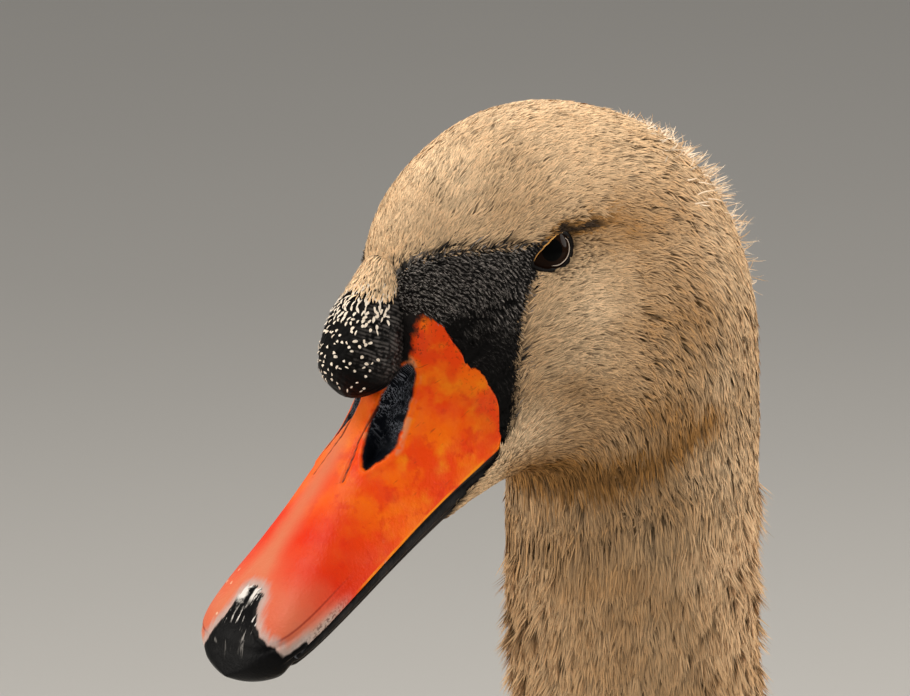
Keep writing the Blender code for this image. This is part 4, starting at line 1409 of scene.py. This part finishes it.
bodyCoat = {
    "length": ((23, 15), (24.5, 20), (27, 30), (30, 38), (35, 40), (39, 36)),
    "width": ((23, 4.5), (24.5, 8), (27, 16), (30, 22), (35, 23), (39, 20)),
    "rise": ((24.5, 3.4), (27, 4.6), (36, 5.2), (39, 4.6)),
    "root": -1.0,
    "heading": 0.0,
    "turn": 0.12,
    "grid": (6, 3),
    "point": 0.55,
    "dome": 0.22,
    "counts": (("breast", 23.0, 28.2, 5200), ("flanks", 28.0, 33.6, 3600), ("rump", 33.4, 38.9, 3400)),
}
for part, low, high, count in bodyCoat["counts"]:
    t, angle = scatter(count, low, high, lambda t, angle: (1 - underWing(t, angle)) * smooth(22.9, 25.0, t))
    vanes("bodyCoat_" + part, t, angle, bodyCoat)
print("body plumage laid")

# folded wings: rows of coverts, then tertials, and the primaries behind them
wingRows = (
    # name, range along the body, count, length, width, rise of the tip, grid
    ("lesser", (27.5, 30.6), 330, 30, 21, 3.0, (6, 3)),
    ("median", (30.0, 31.9), 90, 58, 30, 3.6, (8, 5)),
    ("greater", (31.6, 33.2), 46, 92, 36, 3.2, (10, 5)),
    ("tertials", (33.0, 35.0), 34, 128, 42, 2.4, (12, 5)),
)
wingCoat = {"root": -0.6, "turn": 0.05, "dome": 0.18, "point": 0.62}


def wingFeathers(side, name):
    for row, (low, high), count, length, width, rise, size in wingRows:
        # rows of feathers stand a little behind each other across the wing
        columns = max(int(round(count / max(2, (high - low) * 3))), 3)
        lines = int(math.ceil(count / columns))
        i, j = grid(np.arange(lines), np.arange(columns))
        share = (j + 0.5 + 0.5 * (i % 2)) / (columns + 0.5)
        share = np.clip(share + rng.normal(0, 0.15 / columns, share.shape), 0.03, 0.97).ravel()
        t = (low + (high - low) * (i + 0.5) / lines + rng.normal(0, 0.03, i.shape)).ravel()
        order = np.argsort(-t)
        share, t = share[order], t[order]
        lowEdge, highEdge, _ = wingEdges(t)
        degrees = lowEdge + (highEdge - lowEdge) * share
        angle = np.radians(degrees if side > 0 else 180 - degrees)
        spec = dict(wingCoat, grid=size, heading=side * (0.06 - 0.22 * (share - 0.5)))
        for key, value in (("length", length), ("width", width), ("rise", rise)):
            spec[key] = ((27, value), (40, value))
        vanes("wing_%s_%s" % (row, name), t, angle, spec)
    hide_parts("wing_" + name)


upwards = np.array([0.0, 0.0, 1.0])


def sweep(name, roots, tips, spec, slot, *nodes):  # long straight feathers from root to tip in space
    stations, across = spec["grid"]
    count = len(roots)
    shares, columns = np.linspace(0, 1, stations), np.linspace(-1, 1, across)
    way = tips - roots
    side = unit(np.cross(np.broadcast_to(spec.get("face", upwards), way.shape), way))
    out = unit(np.cross(way, side))
    half = vaneShape(shares, spec["point"])[None] * (spec["width"] * mm) / 2
    bow = spec["bow"] * np.sin(math.pi * shares)[None, :, None] * np.linalg.norm(way, axis=-1)[:, None, None]
    centres = roots[:, None] + way[:, None] * shares[:, None] + out[:, None] * bow
    points = curved(centres, side[:, None, None], out[:, None, None], half, columns, spec["dome"])
    shaft = spec["shaft"] * mm * (1 - shares * 0.7)[None, :, None] * np.exp(-((columns / 0.12) ** 2))
    points = points + out[:, None, None] * shaft[..., None]
    tone = rng.uniform(0.2, 0.7, count)
    t, angle = np.linspace(36.0, 38.5, count), np.radians(np.linspace(20, 160, count))
    made = featherMesh(name, points, t, angle, shares, columns, 0.45, tone=tone, body=1.0, stain=0.10)
    place(made, slot, *nodes)


primaries = {
    "count": 10,
    "width": 25,
    "shrink": (0.38, 1, 0.22),
    "back": (-18, 105, -4),
    "grid": (16, 7),
    "point": 0.72,
    "bow": 0.035,
    "dome": 0.10,
    "shaft": 0.5,
}


def buildPrimaries(side, name):
    count = primaries["count"]
    share = np.linspace(0.12, 0.92, count)

    def onWing(t, edgesAt, height):  # mm above the skin
        low, high, _ = wingEdges(edgesAt)
        t, angle = np.full(count, t), np.radians(low + (high - low) * share)
        return skinSurface(t, angle) + normalAt(t, angle) * (height * mm)

    roots, ring = onWing(35.3, 35.3, -4.0), onWing(37.1, 37.0, 2.0)
    middle = ring.mean(0)
    back = np.array(primaries["back"]) * mm * np.linspace(0.52, 1.0, count)[:, None]
    tips = middle + (ring - middle) * np.array(primaries["shrink"]) + back
    flip = np.array([side, 1, 1])
    spec = dict(primaries, face=unit(np.array([0.72 * side, 0.0, 0.69])))
    feathers = "primaries_" + name + "_feathers"
    sweep(feathers, roots * flip, tips * flip, spec, "flight_feathers", "primaries_" + name)


for side, name in ((1, "left"), (-1, "right")):
    wingFeathers(side, name)
    buildPrimaries(side, name)
print("wings laid")

tail = {
    "feathers": 22,
    "rootForward": -378.0,
    "rootHeight": 176.0,
    "tipForward": (-462.0, -517.0),  # the outermost and the middle ones
    "tipHeight": 175.0,
    "spread": 58.0,
    "coverts": 260,
    "long": {"width": 27, "grid": (16, 7), "point": 0.66, "bow": 0.02, "dome": 0.07, "shaft": 0.5},
    "short": {"width": 21, "grid": (7, 3), "point": 0.5, "bow": 0.01, "dome": 0.2, "shaft": 0.0},
}


def inSpace(x, forward, up):  # from mm to metres
    return np.stack(np.broadcast_arrays(x, -forward - bird["middleBack"], up), -1) * mm


def buildTail():
    count = tail["feathers"]
    share = np.linspace(-1, 1, count)
    share = share[np.argsort(-np.abs(share))]
    layer = np.arange(count) / count
    middle = 1 - np.abs(share) ** 1.6
    outermost, longest = tail["tipForward"]
    roots = inSpace(share * 30, tail["rootForward"], tail["rootHeight"] - 8 + 7 * layer)
    tips = inSpace(
        share * tail["spread"] * (1 - 0.45 * middle),
        outermost + (longest - outermost) * middle,
        tail["tipHeight"] - 3.5 + 5 * layer - 2.0 * np.abs(share),
    )
    sweep("tailFeathers", roots, tips, tail["long"], "flight_feathers", "tail")
    under = tail["coverts"]
    way = rng.uniform(-1, 1, under)
    top = rng.uniform(0, 1, under) < 0.5
    start = rng.uniform(-395, -372, under)
    long = rng.uniform(40, 72, under)
    rootUp = np.where(top, rng.uniform(184, 190, under), rng.uniform(152, 162, under)) - 0.05 * (-start - 372)
    tipUp = np.where(top, 183.5, 162.0) - 0.02 * long + np.where(top, -4, 4) * np.abs(way)
    tips = inSpace(way * (44 + 8 * rng.uniform(0, 1, under)), start - long, tipUp)
    sweep("tailCoverts", inSpace(way * 44, start, rootUp), tips, tail["short"], "plumage")


buildTail()
print("tail laid")

# legs folded along the floor and the webbed feet ahead of them
legs = {
    "shank": ((79, -226, 62), (89, -196, 34), (97, -168, 14), (104, -120, 9), (108, -59.5, 7.5)),
    "radius": 6.2,
    "footRoot": (108, -59.0),
    "toes": ((-5, 124), (8, 146), (21, 136)),  # degrees outwards, length
    "toeHeight": 9.5,
    "webHeight": 3.0,
    "webEdge": 0.82,
    "clawLength": 8,
    "clawRadius": 2.2,
    "skin": (0.016, 0.016, 0.018),
    "scaleEdge": (0.060, 0.058, 0.060),
}


def legMaterial():
    n = Nodes("Leg skin")
    cell = n.cells(420.0, n.place(1, 0.7, 1))
    wrinkle = n.noise(260.0, 3.0, n.place(1, 0.35, 1))
    colour = n.mix(n.step(0.35, 0.6, cell), legs["skin"], legs["scaleEdge"])
    relief = n.bump(wrinkle - cell, 0.7, 0.0006)
    n.look(Base_Color=colour, Roughness=0.48, Specular_IOR_Level=0.4, Normal=relief)
    return n.material


legSkin = legMaterial()


def footGrid():
    turns, lengths = np.array(legs["toes"], float).T
    number = np.linspace(0, 2, 81)
    turn = np.radians(np.interp(number, (0, 1, 2), turns))
    close = np.abs(number - np.round(number))
    toe = np.exp(-((close / 0.14) ** 2))
    edge = legs["webEdge"] + (1 - legs["webEdge"]) * np.exp(-((close / 0.1) ** 2))
    reach = np.interp(number, (0, 1, 2), lengths) * edge
    rings = []
    for share in np.concatenate([np.linspace(0, 0.9, 46), np.linspace(0.92, 1.0, 9)]):
        across = legs["footRoot"][0] + 6.5 * (number - 1) * (1 - share) + reach * share * np.sin(turn)
        forward = legs["footRoot"][1] + reach * share * np.cos(turn)
        web = legs["webHeight"] * (1 - 0.6 * share**4)
        bulge = (legs["toeHeight"] - legs["webHeight"]) * (1 - 0.75 * share**2)
        height = (web + bulge * np.maximum(toe, 1 - share / 0.3)) * (1 - 0.4 * share**8)
        height = height + 0.5 * np.cos(share * 34) * toe * (share > 0.1)
        height = height + 0.18 * waves(81, 2.5, across, forward)
        rings.append(np.concatenate([inSpace(across, forward, height), inSpace(across, forward, 0.05)[::-1]]))
    return np.array(rings)


def shankRings():  # in mm
    table = np.array(legs["shank"], float)
    share = np.linspace(0, len(table) - 1, 60)
    path = np.stack([np.interp(share, range(len(table)), values) for values in table.T], -1)
    for _ in range(8):
        path[1:-1] = evened(path)
    path = np.stack([path[:, 0], -path[:, 1] - bird["middleBack"], path[:, 2]], -1)
    way = unit(np.gradient(path, axis=0))
    across = unit(np.cross(way, [0, 0, 1.0]))
    up = np.cross(across, way)
    turn = circle(28)
    radius = legs["radius"] * (1 + 0.12 * np.exp(-(((share - 4) / 0.35) ** 2)))[:, None]
    radius = radius + 0.10 * np.sin(share * 60)[:, None] * np.maximum(np.cos(turn - 1.5), 0)
    out = across[:, None] * np.cos(turn)[:, None] + up[:, None] * np.sin(turn)[:, None]
    rings = path[:, None] + out * radius[..., None]
    rings[..., 2] = np.maximum(rings[..., 2], 0.1)
    return rings


def clawRings(degrees, reach):  # in mm
    turn = math.radians(degrees)
    ahead = np.array([math.sin(turn), -math.cos(turn), 0])
    beside = np.array([ahead[1], -ahead[0], 0])
    across, forward = legs["footRoot"]
    root = np.array([across, -forward - bird["middleBack"], 3.2]) + (reach - 4) * ahead
    ring = circle(10)[:, None]
    rings = []
    for s in np.linspace(0, 1, 8):
        size = legs["clawRadius"] * (1 - s) ** 0.6 + 0.05
        centre = root + ahead * legs["clawLength"] * s + upwards * (0.6 * math.sin(math.pi * s) - 1.6 * s * s)
        rings.append(centre + beside * np.cos(ring) * size * 0.8 + upwards * np.sin(ring) * size)
    return rings


def capped(rings):  # closed at both ends by drawing them to a point
    first, last = (end.mean(1, keepdims=True).repeat(rings.shape[1], 1) for end in (rings[:1], rings[-1:]))
    return np.concatenate([first, rings, last])


def buildLeg(side, name):
    flip = np.array([side, 1, 1])
    foot, leg = capped(footGrid())[:-1], capped(shankRings()) * mm
    for piece, points, turned in (("foot_", foot, -side), ("leg_", leg, side)):
        faces = gridFaces(*points.shape[:2], closed=True)[:, ::turned]
        place(makeMesh(piece + name + "_skin", points * flip, faces, legSkin), "leg_skin", piece + name)
    claws = np.array([clawRings(degrees, reach) for degrees, reach in legs["toes"]])
    claws[..., 2] = np.maximum(claws[..., 2], 0.15)
    faces = np.concatenate([gridFaces(8, 10, closed=True, start=80 * i) for i in range(3)])
    place(makeMesh("claws_" + name, claws * mm * flip, faces[:, ::-side], legSkin), "leg_skin")


for side, name in ((1, "left"), (-1, "right")):
    buildLeg(side, name)
print("legs made")

# stage and light
studio = {
    "floor": (0.62, 0.61, 0.59),
    "floorReach": 45,
    "world": 0.26,
    "worldTint": (1.0, 0.97, 0.92),
    "lens": 412.1,
    "distance": 2.5,
    "azimuth": 50.0,
    "elevation": 12.0,
    "head": (0, -0.34, 0.66),  # where the lights point
    "lights": (  # where from the head, as seen from the front: right, up, near; size, power, colour
        ("key", (-0.9, 1.5, 0.9), 1.0, 21, (1.0, 0.93, 0.84)),
        ("top", (0.2, 2.1, -0.5), 1.4, 27, (1.0, 0.95, 0.88)),
        ("left", (-2.5, 0.3, 0.3), 1.5, 30, (1.0, 0.95, 0.88)),
        ("right", (2.7, 0.8, -0.5), 1.6, 66, (1.0, 0.95, 0.88)),
        ("front", (0.3, 0.5, 2.0), 1.0, 7, (1.0, 0.95, 0.88)),
        ("back", (0.4, 1.6, -2.0), 1.6, 8, (1.0, 0.96, 0.90)),
    ),
}


def viewDirections():
    azimuth, elevation = math.radians(studio["azimuth"]), math.radians(studio["elevation"])
    right = Vector((math.cos(azimuth), math.sin(azimuth), 0))
    level = math.cos(elevation)
    back = Vector((math.sin(azimuth) * level, -math.cos(azimuth) * level, math.sin(elevation)))
    return right, back.cross(right), back


def buildStudio():
    n = Nodes("Studio floor")
    floor = studio["floor"]
    n.look(Base_Color=n.mix(n.noise(3.0, 2.0), tuple(0.97 * c for c in floor), floor), Roughness=0.9)
    corners = np.array([(-1, -1, 0), (1, -1, 0), (1, 1, 0), (-1, 1, 0)], float) * studio["floorReach"]
    makeMesh("floor", corners, [[0, 1, 2, 3]], n.material)
    world = bpy.data.worlds.new("Studio")
    bpy.context.scene.world = world
    world.use_nodes = True
    background = world.node_tree.nodes["Background"]
    background.inputs["Color"].default_value = (*studio["worldTint"], 1)
    background.inputs["Strength"].default_value = studio["world"]
    right, up, back = viewDirections()
    head = Vector(studio["head"])
    for name, (r, u, b), size, power, colour in studio["lights"]:
        data = bpy.data.lights.new(name, "AREA")
        data.shape = "DISK"
        data.size, data.energy, data.color = size, power, colour
        light = bpy.data.objects.new(name, data)
        light.location = head + right * r + up * u + back * b
        light.rotation_euler = (head - light.location).to_track_quat("-Z", "Y").to_euler()
        bpy.context.scene.collection.objects.link(light)


def buildCamera():
    right, up, back = viewDirections()
    target = Vector((0.0250, -eyeForward - bird["middleBack"] * mm, eyeUp)) - 0.0235 * right - 0.0235 * up
    data = bpy.data.cameras.new("camera")
    data.lens, data.sensor_width, data.clip_end = studio["lens"], 36, 120
    camera = bpy.data.objects.new("camera", data)
    turn = Matrix((right, up, back)).transposed().to_4x4()
    turn.translation = target + back * studio["distance"]
    camera.matrix_world = turn
    bpy.context.scene.collection.objects.link(camera)
    bpy.context.scene.camera = camera


buildStudio()
buildCamera()
bpy.context.scene.view_settings.view_transform = "Standard"
print("studio ready")
